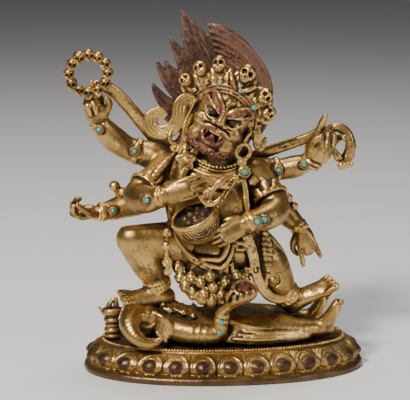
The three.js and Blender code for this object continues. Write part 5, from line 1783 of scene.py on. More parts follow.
@dataclass
class Elephant:
    """The elephant-headed figure that lies on its back under his feet, its head to the left."""

    voxel: float = 0.62
    bowl: tuple[float, float, float] = (8.6, -29.0, 32.0)
    bowl_axis: tuple[float, float, float] = (0.08, -0.5, 0.86)

    def sculpt(self) -> Clay:
        """Models the reclining figure.

        Returns:
            The finished clay.
        """
        clay = Clay((-66, -38, -1), (70, 24, 40), self.voxel)
        clay.rope([[-36, -3, 9, 12, 8.5], [-26, -2, 9, 13.5, 8.8], [-12, -1, 7.6, 12.5, 7.8],
                   [3, 0, 7.6, 12.5, 7.8], [14, 0, 7.4, 13, 7.4], [20, 0, 6.6, 10, 6]], 0, flat=UP)
        self._head(clay)
        self._arm(clay)
        self._legs(clay)
        self._cloth(clay)
        clay.slice_off((0, 0, 0.15), (0, 0, -1))
        return clay

    def _head(self, clay: Clay) -> None:
        """The elephant's head: brow, eye, ears, tusk and a trunk that curls forwards.

        Args:
            clay: the clay that it is worked into.
        """
        clay.ball((-44, -8, 11.5), (10.5, 12, 9.6), 3)
        clay.ball((-48, -13, 14), (6.5, 7, 6.5), 2.5)
        clay.ball((-41, -14.5, 14), (5, 6, 6.4), 2.5)
        trunk = [[-48.6, -15, 15, 7], [-51, -22, 12.4, 5.6], [-49, -27.4, 8, 4.2], [-44, -30, 4.8, 3.2],
                 [-38.6, -30, 4.8, 2.4], [-35.4, -29.6, 7.4, 1.8], [-37, -29.4, 9.8, 1.3]]
        clay.rope(trunk, 1.4)
        curve = spline(trunk, 4)
        for row, run in list(zip(curve, np.gradient(curve[:, :3], axis=0)))[5:-2]:
            clay.ring(row[:3], run, row[3] + 0.1, 0.22, 0.3, carve=True)
        clay.rope([[-45, -20.6, 10.6, 1.8], [-41.6, -25, 11.4, 1.3], [-38.6, -27.4, 14, 0.6]], 0.3)
        clay.ball((-43.4, -19.4, 16), (1.7, 1.3, 1.2), 0.2)
        clay.rope([[-46, -19.8, 16.2, 0.45], [-43.4, -20.6, 17.6, 0.5], [-40.8, -19, 16.2, 0.45]], 0.2)
        clay.rope([[-46, -19.8, 16, 0.4], [-43.4, -20.6, 14.6, 0.45], [-40.8, -19, 16, 0.4]], 0.2)
        for k in range(5):
            clay.rope([[-40 + 0.4 * k, -16.4 + 0.4 * k, 18 - 0.8 * k, 1.3],
                       [-34 - 0.4 * k, -20.6, 15.5 - 2.4 * k, 1.5],
                       [-29.4 - 0.7 * k, -21, 10.6 - 2.0 * k, 1.1]], 0.6)
        for k in range(6):
            clay.rope([[-38 + 0.8 * k, 1 - 1.6 * k, 17.4, 1.6],
                       [-31 + 1.1 * k, 1 - 1.4 * k, 19.2 - 0.3 * k, 2.2],
                       [-24 + 0.8 * k, 0 - 1.0 * k, 16.6 - 0.6 * k, 1.6]], 0.8)
        for k in range(22):
            along_neck = -33 + 0.75 * k
            place = (along_neck, -9.5 - 3.4 * math.sin(1.9 * k), 18.6 - 0.22 * k + 0.5 * math.cos(2.3 * k))
            clay.ball(place, 1.75 + 0.35 * math.sin(5.1 * k), 0.35)
            clay.ring(np.array(place) + (0, -0.6, 1.0), (0.2, -0.5, 1), 0.9, 0.3, 0.1, carve=True)
        clay.rope([[-56, -8, 12, 1], [-52, -3, 19, 1.2], [-45, 0, 21, 1.2], [-38, -2, 19, 1]], 0.5)

    def _arm(self, clay: Clay) -> None:
        """The near arm, which props the elbow and lifts a bowl, with its bangles.

        Args:
            clay: the clay that it is worked into.
        """
        near = [[-30, -14, 8, 7], [-20, -20, 6.8, 5.8], [-10, -22, 6.2, 5.2], [-5, -22.5, 7.4, 4.6],
                [-3.6, -23.5, 13, 3.7], [-2.4, -24.5, 18.6, 3.1]]
        clay.rope(near, 1.6)
        for share in (0.2, 0.55, 0.9):
            place, way, radius = along(near, 1, share)
            clay.ring(place, way, radius + 0.1, 0.5, 0.15)
        for share in (0.25, 0.75):
            place, way, radius = along(near, 4, share)
            bangle(clay, place, way, radius, 0.5, 12)
        clay.rope([[-2.4, -25, 19.6, 3.2, 2.6], [0.6, -26, 22.4, 4.2, 2.4], [4.2, -28, 25, 4.4, 2.2]], 0.6,
                  flat=(-0.5, 0, 0.8))
        c, n = np.array(self.bowl), unit(self.bowl_axis)
        x = square_to((1, 0, 0), n)
        turn = np.stack([x, np.cross(n, x), n], 1)
        clay.ball(c - n * 1.2, (6.8, 6.2, 5.6), 0.4, turn=turn)
        clay.ball(c + n * 30, 29.4, 0.2, carve=True)
        clay.ball(c + n * 0.4, (5.4, 4.8, 2.6), 0.3, turn=turn, carve=True)
        rim = [[*(c + x * 6.2 * math.cos(t) + turn[:, 1] * 5.6 * math.sin(t) + n * 0.5), 0.75]
               for t in np.linspace(0, 2 * math.pi, 17)]
        clay.rope(rim, 0.2, steps=2)
        for k in range(7):
            t = 2.4 * k
            out = (x * math.cos(t) + turn[:, 1] * math.sin(t)) * (0.6 + 0.55 * k)
            clay.ball(c + out - n * 0.9, 1.5, 0.4)
        for k in range(4):
            root = np.array((0.8 + 3 * k, -29.6 - 0.9 * k, 23.6 + 1.1 * k))
            clay.rope([[*root, 1.5], [*(root + (1.6, -3.4, 2.6)), 1.35], [*(root + (2.2, -3.6, 5.8)), 1.0]],
                      0.4)
        clay.rope([[0.4, -26, 24, 1.8], [-0.4, -29.6, 28, 1.5], [1.2, -31.6, 31.4, 1.1]], 0.5)

    def _legs(self, clay: Clay) -> None:
        """Both legs out to the right, with the soles and toes turned up.

        Args:
            clay: the clay that it is worked into.
        """
        clay.rope([[7, -11, 7.6, 10.4, 7.6], [22, -12, 6.8, 9.2, 6.8], [34, -11.6, 5.8, 7.6, 5.8],
                   [46, -10, 5, 5.8, 4.9], [54, -8.8, 4.6, 4.4, 4.2]], 2, flat=UP)
        clay.ball((31, -9.6, 8.4), (6, 5.4, 4.6), 3)
        clay.rope([[10, 9, 8, 9, 7], [26, 9.6, 7.6, 7.6, 6], [40, 9, 6.4, 6, 5], [50, 8, 5.4, 4.6, 4.4]], 2,
                  flat=UP)
        for y, shift in ((-10, 0.0), (8, -4.0)):
            foot = [[50 + shift, y + 1, 5, 4.8, 4.6], [54 + shift, y + 0.4, 8.4, 5.2, 4.2],
                    [57 + shift, y, 13, 5.2, 3.4], [58.6 + shift, y - 0.6, 17, 4.6, 2.6]]
            clay.rope(foot, 1.4, flat=(-0.9, 0.35, 0.25))
            for i in range(5):
                root = np.array((58 + shift - 0.2 * i, y - 2.6 + 0.9 * i, 18.8 - 1.9 * i))
                tip = root + (3.4 - 0.25 * i, -1.6, 1.4 - 0.2 * i)
                clay.rope([[*root, 1.3], [*tip, 1.45 if i == 0 else 1.2]], 0.3, steps=0)
                clay.ring((root + tip) / 2, tip - root, 1.3, 0.2, 0.1, carve=True)

    def _cloth(self, clay: Clay) -> None:
        """Folds of cloth round the hips and over the near thigh.

        Args:
            clay: the clay that it is worked into.
        """
        for k in range(6):
            x = 2 + 3.6 * k
            clay.rope([[x, -6 - 0.6 * k, 15.6 - 0.4 * k, 1.2], [x + 1.2, -13, 12.6 - 0.3 * k, 1.3],
                       [x + 1.6, -17 + 0.3 * k, 6.6, 1.0]], 0.9)
        fluted(clay, [[1, -18.6, 12, 0.7], [10, -21, 8.4, 1], [20, -21, 6.8, 1], [31, -18.4, 4.2, 0.8]],
               2.8, 4, FRONT, 0.2)
        clay.rope([[2, -18, 5, 6.4, 3], [16, -19.4, 4.4, 6.6, 3], [30, -17.4, 4, 6, 2.8],
                   [41, -14.4, 3.6, 4.6, 2.6]], 1.2, flat=(0, -0.55, 1))
        for k in range(3):
            clay.rope([[3 + 3 * k, -24.6 + 1.2 * k, 4.2 + 1.6 * k, 0.8],
                       [16 + 2 * k, -25.6 + 1.3 * k, 3.6 + 1.5 * k, 1.0],
                       [30 + 2 * k, -22.4 + 1.2 * k, 3.4 + 1.3 * k, 0.9], [42, -17.6 + k, 3.2 + k, 0.6]],
                      0.4)
        for k in range(5):
            clay.rope([[-22 + 6 * k, 4, 16.4, 0.9], [-20 + 6 * k, 12.6, 11.6, 1.2],
                       [-20 + 6 * k, 14, 4, 0.9]], 0.9)

    def red(self, local: np.ndarray) -> np.ndarray:
        """The reddish inside of the bowl."""
        offset = local - np.array(self.bowl)
        level = offset @ unit(self.bowl_axis)
        out = np.linalg.norm(offset - level[:, None] * unit(self.bowl_axis), axis=1)
        return smoothstep(5.6, 5.0, out) * smoothstep(-3.2, -2.6, level) * smoothstep(1.6, 1.2, level)


@dataclass
class Vessel:
    """The small vessel at the far left: a ringed stem, a boat-shaped cup and its offering."""

    voxel: float = 0.36
    place: tuple[float, float] = (-59.4, 0.0)

    def sculpt(self) -> Clay:
        """Models the vessel.

        Returns:
            The finished clay.
        """
        x, y = self.place
        clay = Clay((x - 9, y - 8, -1), (x + 9, y + 8, 24), self.voxel)
        for z, radius in ((1.0, 4.2), (4.2, 4.4), (7.0, 3.9), (9.8, 4.6)):
            clay.ring((x, y, z), UP, radius - 1.2, 1.5, 0.3)
        clay.rope([[x, y, 0.8, 3.6], [x, y, 12.4, 3.6]], 0.4, steps=0)
        clay.ball((x, y, 14), (6.4, 4.8, 3.2), 0.5)
        clay.ball((x, y, 17.4), (5.2, 3.6, 3), 0.3, carve=True)
        clay.rope([[x - 6, y, 15, 1], [x - 7.4, y, 16.4, 0.7]], 0.3)
        for s in (-1, 1):
            clay.rope([[x + s * 1.5, y, 14, 1.7], [x + s * 1.9, y, 17.4, 1.6],
                       [x + 1.5 + s * 0.6, y, 21.4, 0.7]], 0.5)
        for z in (2.6, 5.6, 8.4, 11.2):
            clay.ring((x, y, z), UP, 4.2, 0.25, 0.2, carve=True)
        clay.slice_off((0, 0, 0.15), (0, 0, -1))
        return clay


@dataclass
class Base:
    """The oval lotus base: a rounded foot rim, a row of keeled petals, a row of beads and a deck."""

    length: float = 150.0
    depth: float = 84.0
    power: float = 2.17
    petals: int = 26
    samples: int = 24
    rows: int = 52
    petal_foot: float = 4.6
    petal_top: float = 14.4
    bead_edge: int = 16
    bead_inset: float = 10.5
    profile: tuple[tuple[float, float], ...] = ((0, 1.2), (0.25, 0.5), (1.1, 0.05), (2.3, 0.05), (3.5, 0.7),
                                                (4.2, 2.0), (4.5, 3.4), (4.9, 4.3), (5.6, 4.0), (7.0, 3.3),
                                                (9.0, 3.6), (11.0, 4.8), (13.0, 7.0), (14.2, 9.0),
                                                (14.8, 10.2), (15.4, 10.5), (15.9, 10.9), (15.95, 12.0),
                                                (15.3, 12.4), (15.2, 13.4))
    lid_steps: tuple[float, ...] = (0.97, 0.9, 0.8, 0.66, 0.5, 0.33, 0.16, 0.02)

    def outline(self, turns: np.ndarray, inset: np.ndarray | float) -> np.ndarray:
        """Places on the outline at turns in radians, moved in by an inset."""
        c, s = np.cos(turns), np.sin(turns)
        power = 2 / self.power
        x = (self.length / 2 - inset) * np.sign(c) * np.abs(c) ** power
        y = (self.depth / 2 - inset) * np.sign(s) * np.abs(s) ** power
        return np.stack(np.broadcast_arrays(x, y), -1)

    def turns(self, count: int) -> np.ndarray:
        """Turns that step the outline into equal lengths."""
        fine = np.linspace(0, 2 * math.pi, 8001)
        walked = walked_along(self.outline(fine, 0.0))
        return np.interp((np.arange(count) + 0.5) / count * walked[-1], walked, fine)

    def build(self, material: bpy.types.Material) -> bpy.types.Object:
        """Builds the base as one closed skin.

        Args:
            material: what it is made of.

        Returns:
            The base.
        """
        profile = np.array(self.profile)
        walked = walked_along(profile)
        steps = np.linspace(0, walked[-1], self.rows)
        level, inset = (np.interp(steps, walked, profile[:, i]) for i in range(2))
        cols = self.petals * self.samples
        u = (np.arange(cols) + 0.5) / self.samples % 1 * 2 - 1
        v = (level - self.petal_foot) / (self.petal_top - self.petal_foot)
        lift, dark, patina_and_shade_mask = self._petal(u[None, :], v[:, None])
        edge = smoothstep(15.6, 15.2, level) * (steps > walked[self.bead_edge])
        rim = np.clip(smoothstep(self.petal_foot, 4.0, level) + edge, 0, 1)[:, None]
        places = self.outline(self.turns(cols)[None, :], inset[:, None] - lift)
        z = np.clip(level[:, None] + 0.12 * lift, 0, BASE_HEIGHT)
        points = np.concatenate([places, z[..., None]], -1).reshape(-1, 3)
        index = np.arange(self.rows * cols).reshape(self.rows, cols)
        right = np.roll(index, -1, axis=1)
        quads = np.stack([index[:-1], right[:-1], right[1:], index[1:]], -1).reshape(-1, 4)
        masks = {
            "patina_and_shade_mask": np.clip(patina_and_shade_mask, 0, 1.4).ravel(),
            "red": np.zeros(len(points)),
            "dark": np.clip(dark + 0.88 * rim, 0, 1).ravel(),
        }
        points, quads, masks = self._close(points, quads, masks, cols)
        points = points - (0, 0, DECK)
        if (normals_of(points, quads) * points * (1, 1, 0)).sum() <= 0:
            quads = quads[:, ::-1]
        uneven = (0.1 * lumps(points, 5.0, 9))[:, None] * (points[:, 2:] > 1 - DECK)
        points = points + normals_of(points, quads) * uneven
        # Painted shade: ambient occlusion from the pieces on the deck darkens the base.
        shade = OCCLUSION_SHADE.at(points, normals_of(points, quads))
        masks["patina_and_shade_mask"] = np.clip(masks["patina_and_shade_mask"] + 0.6 * shade * (points[:, 2] > -2), 0, 1.4)
        made = mesh_object("lotus_base_carved", points, quads, masks, material)
        log.info("lotus_base_carved: %d faces", len(made.data.polygons))
        return made

    @staticmethod
    def _petal(u: np.ndarray, v: np.ndarray) -> tuple[np.ndarray, np.ndarray, np.ndarray]:
        """The relief of a petal, its dark boss, and its hollows, darkened by dark oxide and painted shade.

        Args:
            u: across a petal, from -1 to 1.
            v: up a petal, from 0 at its tip to 1 under the beads.

        Returns:
            Its height in millimetres, how dark its boss is, and how much dark oxide and painted shade its
            hollows get.
        """

        def line(at: float, wide: float) -> np.ndarray:
            """A soft line round the petal."""
            return np.exp(-(((out - at) / wide) ** 2))

        inside = smoothstep(-0.06, 0.04, v) * smoothstep(1.04, 0.92, v)
        point = 0.12 * np.maximum(1 - np.abs(u) * 1.6, 0)
        out = np.hypot(u * 0.98, (v - 0.5 + point * (v < 0.5)) * 1.86)
        edge = smoothstep(1.04, 0.88, out)
        keel = np.exp(-((u / 0.12) ** 2)) * smoothstep(0.66, 0.36, v)
        boss = np.sqrt(np.clip(1 - (out / 0.5) ** 2, 0, 1)) * (1.5 + 0.45 * keel)
        lift = inside * (1.1 * edge + 0.6 * line(0.88, 0.06) + 0.4 * line(0.6, 0.05) + boss)
        gap = smoothstep(0.9, 1.0, np.abs(u)) * inside
        lift = lift - 0.7 * gap
        hollows = 0.35 * line(0.76, 0.04) + 0.9 * line(0.52, 0.04) + 0.45 * line(0.97, 0.05)
        patina_and_shade_mask = inside * hollows + 0.7 * gap
        dark = inside * smoothstep(0.51, 0.45, out)
        return lift, dark, patina_and_shade_mask

    def _close(self, points: np.ndarray, quads: np.ndarray, masks: dict[str, np.ndarray],
               cols: int) -> tuple:
        """Closes the skin with rings that shrink to the middle of the underside and of the deck.

        Args:
            points: the skin's places, row by row.
            quads: its faces.
            masks: its values.
            cols: how many places a row has.

        Returns:
            The closed skin's places, faces and values.
        """
        rings, faces = [points], [quads]
        count = len(points)
        for first, z, flip in ((0, 0.0, True), (count - cols, points[-1, 2], False)):
            last = np.arange(first, first + cols)
            for share in self.lid_steps:
                ring = points[first : first + cols] * (share, share, 1)
                ring[:, 2] = z
                here = np.arange(count, count + cols)
                band = np.stack([last, np.roll(last, -1), np.roll(here, -1), here], -1)
                faces.append(band[:, ::-1] if flip else band)
                rings.append(ring)
                last, count = here, count + cols
            rings.append(np.array([[0, 0, z]]))
            pairs = last.reshape(-1, 2)
            following = np.roll(last, -2).reshape(-1, 2)[:, 0]
            fan = np.stack([pairs[:, 0], pairs[:, 1], following, np.full(len(pairs), count)], -1)
            faces.append(fan[:, ::-1] if flip else fan)
            count += 1
        # The lids take a little dark oxide and painted shade.
        lid = {"patina_and_shade_mask": 0.3, "red": 0.0, "dark": 0.8}
        more = count - len(points)
        masks = {key: np.append(value, np.full(more, lid[key])) for key, value in masks.items()}
        return np.vstack(rings), np.vstack(faces), masks


def cabochon(place: StonePlace, name: str, material: bpy.types.Material) -> bpy.types.Object:
    """A domed stone, a little uneven, set into its collar.

    Args:
        place: where the stone sits, with its size and facing.
        name: what it is called.
        material: what it is made of.

    Returns:
        The stone.
    """
    n = unit(place.out)
    a = square_to((0.2, 0.1, 1), n)
    b = np.cross(n, a)
    sides, rings = 20, 9
    around = np.linspace(0, 2 * math.pi, sides, endpoint=False)
    points = []
    for k in range(1, rings):
        t = math.pi * k / rings
        for s in around:
            r = place.radius * math.sin(t) * (1 + 0.03 * math.sin(3 * s + len(name)))
            points.append(n * place.radius * 0.82 * math.cos(t) + a * r * math.cos(s) + b * r * math.sin(s))
    points = np.array(points + [n * place.radius * 0.8, -n * place.radius * 0.8]) + place.centre
    faces = []
    for k in range(rings - 2):
        for s in range(sides):
            p, q = k * sides + s, k * sides + (s + 1) % sides
            faces.append([p, p + sides, q + sides, q])
    last = (rings - 2) * sides
    for s in range(0, sides, 2):
        faces.append([len(points) - 2, s, s + 1, (s + 2) % sides])
        faces.append([len(points) - 1, last + (s + 2) % sides, last + s + 1, last + s])
    quads = np.array(faces)
    if (normals_of(points, quads) * (points - place.centre)).sum() < 0:
        quads = quads[:, ::-1]
    return mesh_object(name, points, quads, {}, material)


# Node trees.


class Wiring:
    """A node tree that is being wired, with short ways to place its usual nodes."""

    def __init__(self, tree: bpy.types.NodeTree) -> None:
        """Takes up a tree."""
        self.tree = tree

    def node(self, kind: str, inputs: dict | None = None, **settings: object) -> bpy.types.Node:
        """Adds a node.

        Args:
            kind: its type in Blender.
            inputs: a socket or a value for each input, by name or number.
            settings: its properties.

        Returns:
            The node.
        """
        made = self.tree.nodes.new(kind)
        for name, value in settings.items():
            setattr(made, name, value)
        for key, value in (inputs or {}).items():
            self.feed(made.inputs[key], value)
        return made

    def feed(self, socket: Socket, value: object) -> None:
        """Links an input to a socket, or sets it to a value."""
        if isinstance(value, Socket):
            self.tree.links.new(value, socket)
        else:
            socket.default_value = value

    def ends(
        self, inputs: dict[str, str], outputs: dict[str, str]
    ) -> tuple[dict[str, Socket], bpy.types.Node]:
        """Gives a group its sockets.

        Args:
            inputs: the kinds of its inputs, by name.
            outputs: the kinds of its outputs, by name.

        Returns:
            The sockets that bring its inputs, by name, and the node that takes its outputs.
        """
        for way, sockets in (("INPUT", inputs), ("OUTPUT", outputs)):
            for name, kind in sockets.items():
                self.tree.interface.new_socket(name, in_out=way, socket_type="NodeSocket" + kind)
        start = self.node("NodeGroupInput")
        return {name: start.outputs[name] for name in inputs}, self.node("NodeGroupOutput")

    def math(self, operation: str, a: Socket | float, b: Socket | float = 0.0,
             clamp: bool = False) -> Socket:
        """Works out one value from one or two."""
        made = self.node("ShaderNodeMath", {0: a, 1: b}, operation=operation, use_clamp=clamp)
        return made.outputs[0]

    def about(self, value: Socket, middle: float, scale: float) -> Socket:
        """How far a value is from a middle, scaled."""
        return self.math("MULTIPLY", self.math("SUBTRACT", value, middle), scale)

    def step(self, value: Socket, low: float, high: float) -> Socket:
        """A smooth step between two values."""
        inputs = {"From Min": low, "From Max": high, "Value": value}
        return self.node("ShaderNodeMapRange", inputs, interpolation_type="SMOOTHSTEP").outputs["Result"]

    def mix(self, factor: Socket, a: Socket | Colour, b: Socket | Colour) -> Socket:
        """A mix of two colours."""
        made = self.node("ShaderNodeMix", {"Factor": factor}, data_type="RGBA")
        for socket, value in zip([s for s in made.inputs if s.type == "RGBA"], (a, b)):
            self.feed(socket, value)
        return next(s for s in made.outputs if s.type == "RGBA")

    def noise(self, scale: float, detail: float = 4.0, rough: float = 0.55) -> Socket:
        """Noise on the object's own coordinates, in metres."""
        place = self.node("ShaderNodeTexCoord").outputs["Object"]
        inputs = {"Scale": scale, "Detail": detail, "Roughness": rough, "Vector": place}
        return self.node("ShaderNodeTexNoise", inputs).outputs[0]

    def named(self, name: str) -> Socket:
        """A named attribute of the piece."""
        return self.node("ShaderNodeAttribute", attribute_name=name).outputs["Fac"]

    def chance(self, kind: str, low: Socket, high: Socket, seed: Socket) -> Socket:
        """Random values of a kind of socket, between two others."""
        data_type = {"VALUE": "FLOAT", "VECTOR": "FLOAT_VECTOR"}[kind]
        made = self.node("FunctionNodeRandomValue", {"Seed": seed}, data_type=data_type)
        for socket, value in zip([s for s in made.inputs if s.type == kind], (low, high)):
            self.feed(socket, value)
        return next(s for s in made.outputs if s.type == kind)


class Strung:
    """Sets beads or small skulls at even steps along a closed cord, by Geometry Nodes."""

    seed: int = 7

    def __init__(self) -> None:
        """Builds the tree once, with named inputs."""
        self.tree = bpy.data.node_groups.new("strung_forms", "GeometryNodeTree")
        w = Wiring(self.tree)
        kinds = {"Geometry": "Geometry", "Form": "Object", "Count": "Int", "Seed": "Int",
                 "Variation": "Float", "Turn": "Float", "Material": "Material"}
        start, end = w.ends(kinds, {"Geometry": "Geometry"})
        curve = w.node("GeometryNodeMeshToCurve", {"Mesh": start["Geometry"]})
        even = w.node("GeometryNodeResampleCurve", {"Curve": curve.outputs[0], "Count": start["Count"]})
        form = w.node("GeometryNodeObjectInfo", {"Object": start["Form"]})
        smaller = w.math("SUBTRACT", 1.0, start["Variation"])
        larger = w.math("ADD", 1.0, start["Variation"])
        most = w.node("ShaderNodeCombineXYZ", {axis: start["Turn"] for axis in "XYZ"}).outputs[0]
        least = w.node("ShaderNodeVectorMath", {0: most, "Scale": -1.0}, operation="SCALE").outputs[0]
        placed_forms = w.node("GeometryNodeInstanceOnPoints", {
            "Points": even.outputs[0],
            "Instance": form.outputs["Geometry"],
            "Scale": w.chance("VALUE", smaller, larger, start["Seed"]),
            "Rotation": w.chance("VECTOR", least, most, start["Seed"]),
        })
        real = w.node("GeometryNodeRealizeInstances", {"Geometry": placed_forms.outputs[0]})
        finish = w.node("GeometryNodeSetMaterial", {"Geometry": real.outputs[0],
                                                    "Material": start["Material"]})
        w.feed(end.inputs["Geometry"], finish.outputs[0])

    def string(
        self,
        name: str,
        cord: np.ndarray,
        form: bpy.types.Object,
        count: int,
        variation: float,
        turn: float,
        material: bpy.types.Material,
    ) -> bpy.types.Object:
        """Strings a form along a closed cord and makes the result a plain mesh.

        Args:
            name: the finished piece's name.
            cord: places of the cord in the pose, in millimetres.
            form: what is strung; it is removed by the caller.
            count: how many there are.
            variation: how far sizes may differ, as a share.
            turn: how far each may be turned about each axis, in radians.
            material: the finish.

        Returns:
            The piece.
        """
        mesh = bpy.data.meshes.new(name + "_cord")
        places = (cord + (0, 0, DECK)) * MM
        edges = [(i, (i + 1) % len(places)) for i in range(len(places))]
        mesh.from_pydata(places.tolist(), edges, [])
        holder = placed(name + "_cord", mesh)
        modifier = holder.modifiers.new("strung", "NODES")
        modifier.node_group = self.tree
        values = {"Form": form, "Count": count, "Seed": self.seed, "Variation": variation, "Turn": turn,
                  "Material": material}
        for item in self.tree.interface.items_tree:
            if item.in_out == "INPUT" and item.name in values:
                modifier[item.identifier] = values[item.name]
        holder.update_tag()
        graph = bpy.context.evaluated_depsgraph_get()
        done = bpy.data.meshes.new_from_object(holder.evaluated_get(graph))
        bpy.data.objects.remove(holder)
        bpy.data.meshes.remove(mesh)
        done.name = name
        log.info("%s: %d faces", name, len(done.polygons))
        return placed(name, done)


def small_form(clay: Clay, name: str, material: bpy.types.Material) -> bpy.types.Object:
    """A sculpted form about the origin, in metres, to be strung."""
    points, quads, normals = clay.skin()
    # Dark oxide and painted shade in the form's own hollows.
    fine = 1.0 - clay.sample(points + normals * 0.8) / 0.8
    masks = {"patina_and_shade_mask": smoothstep(0.05, 0.7, fine), "red": np.zeros(len(points)),
             "dark": np.zeros(len(points))}
    return mesh_object(name, points - (0, 0, DECK), quads, masks, material)


# Finishes.


class Finish(Enum):
    """The finishes, by the record's slot names."""

    GILT = "gilt_copper"
    HAIR = "red_hair"
    BASE = "base_copper"
    STONE = "turquoise"


Piece = tuple[bpy.types.Object, Finish, tuple[str, ...]]


@dataclass(frozen=True)
class Gilding:
    """Colours and wear of a gilded and painted metal, and the colours of painted shade in its hollows."""

    gold: Colour = (0.86, 0.56, 0.185, 1)
    deep_and_shaded_gold: Colour = (0.31, 0.185, 0.06, 1)
    copper: Colour = (0.13, 0.078, 0.042, 1)
    patina_and_shade_colour: Colour = (0.034, 0.022, 0.013, 1)
    red: Colour = (0.17, 0.042, 0.028, 1)
    black: Colour = (0.035, 0.022, 0.018, 1)
    wear: float = 0.30
    grime_and_shade: float = 1.0
    paint_wear: float = 0.46
    metallic: float = 0.97
    roughness: float = 0.23
    relief: float = 0.0004


@dataclass(frozen=True)
class Gemstone:
    """Colours of the turquoise."""

    blue: Colour = (0.04, 0.38, 0.36, 1)
    green: Colour = (0.10, 0.46, 0.30, 1)
    vein: Colour = (0.06, 0.08, 0.05, 1)
    roughness: float = 0.24
    relief: float = 0.0002


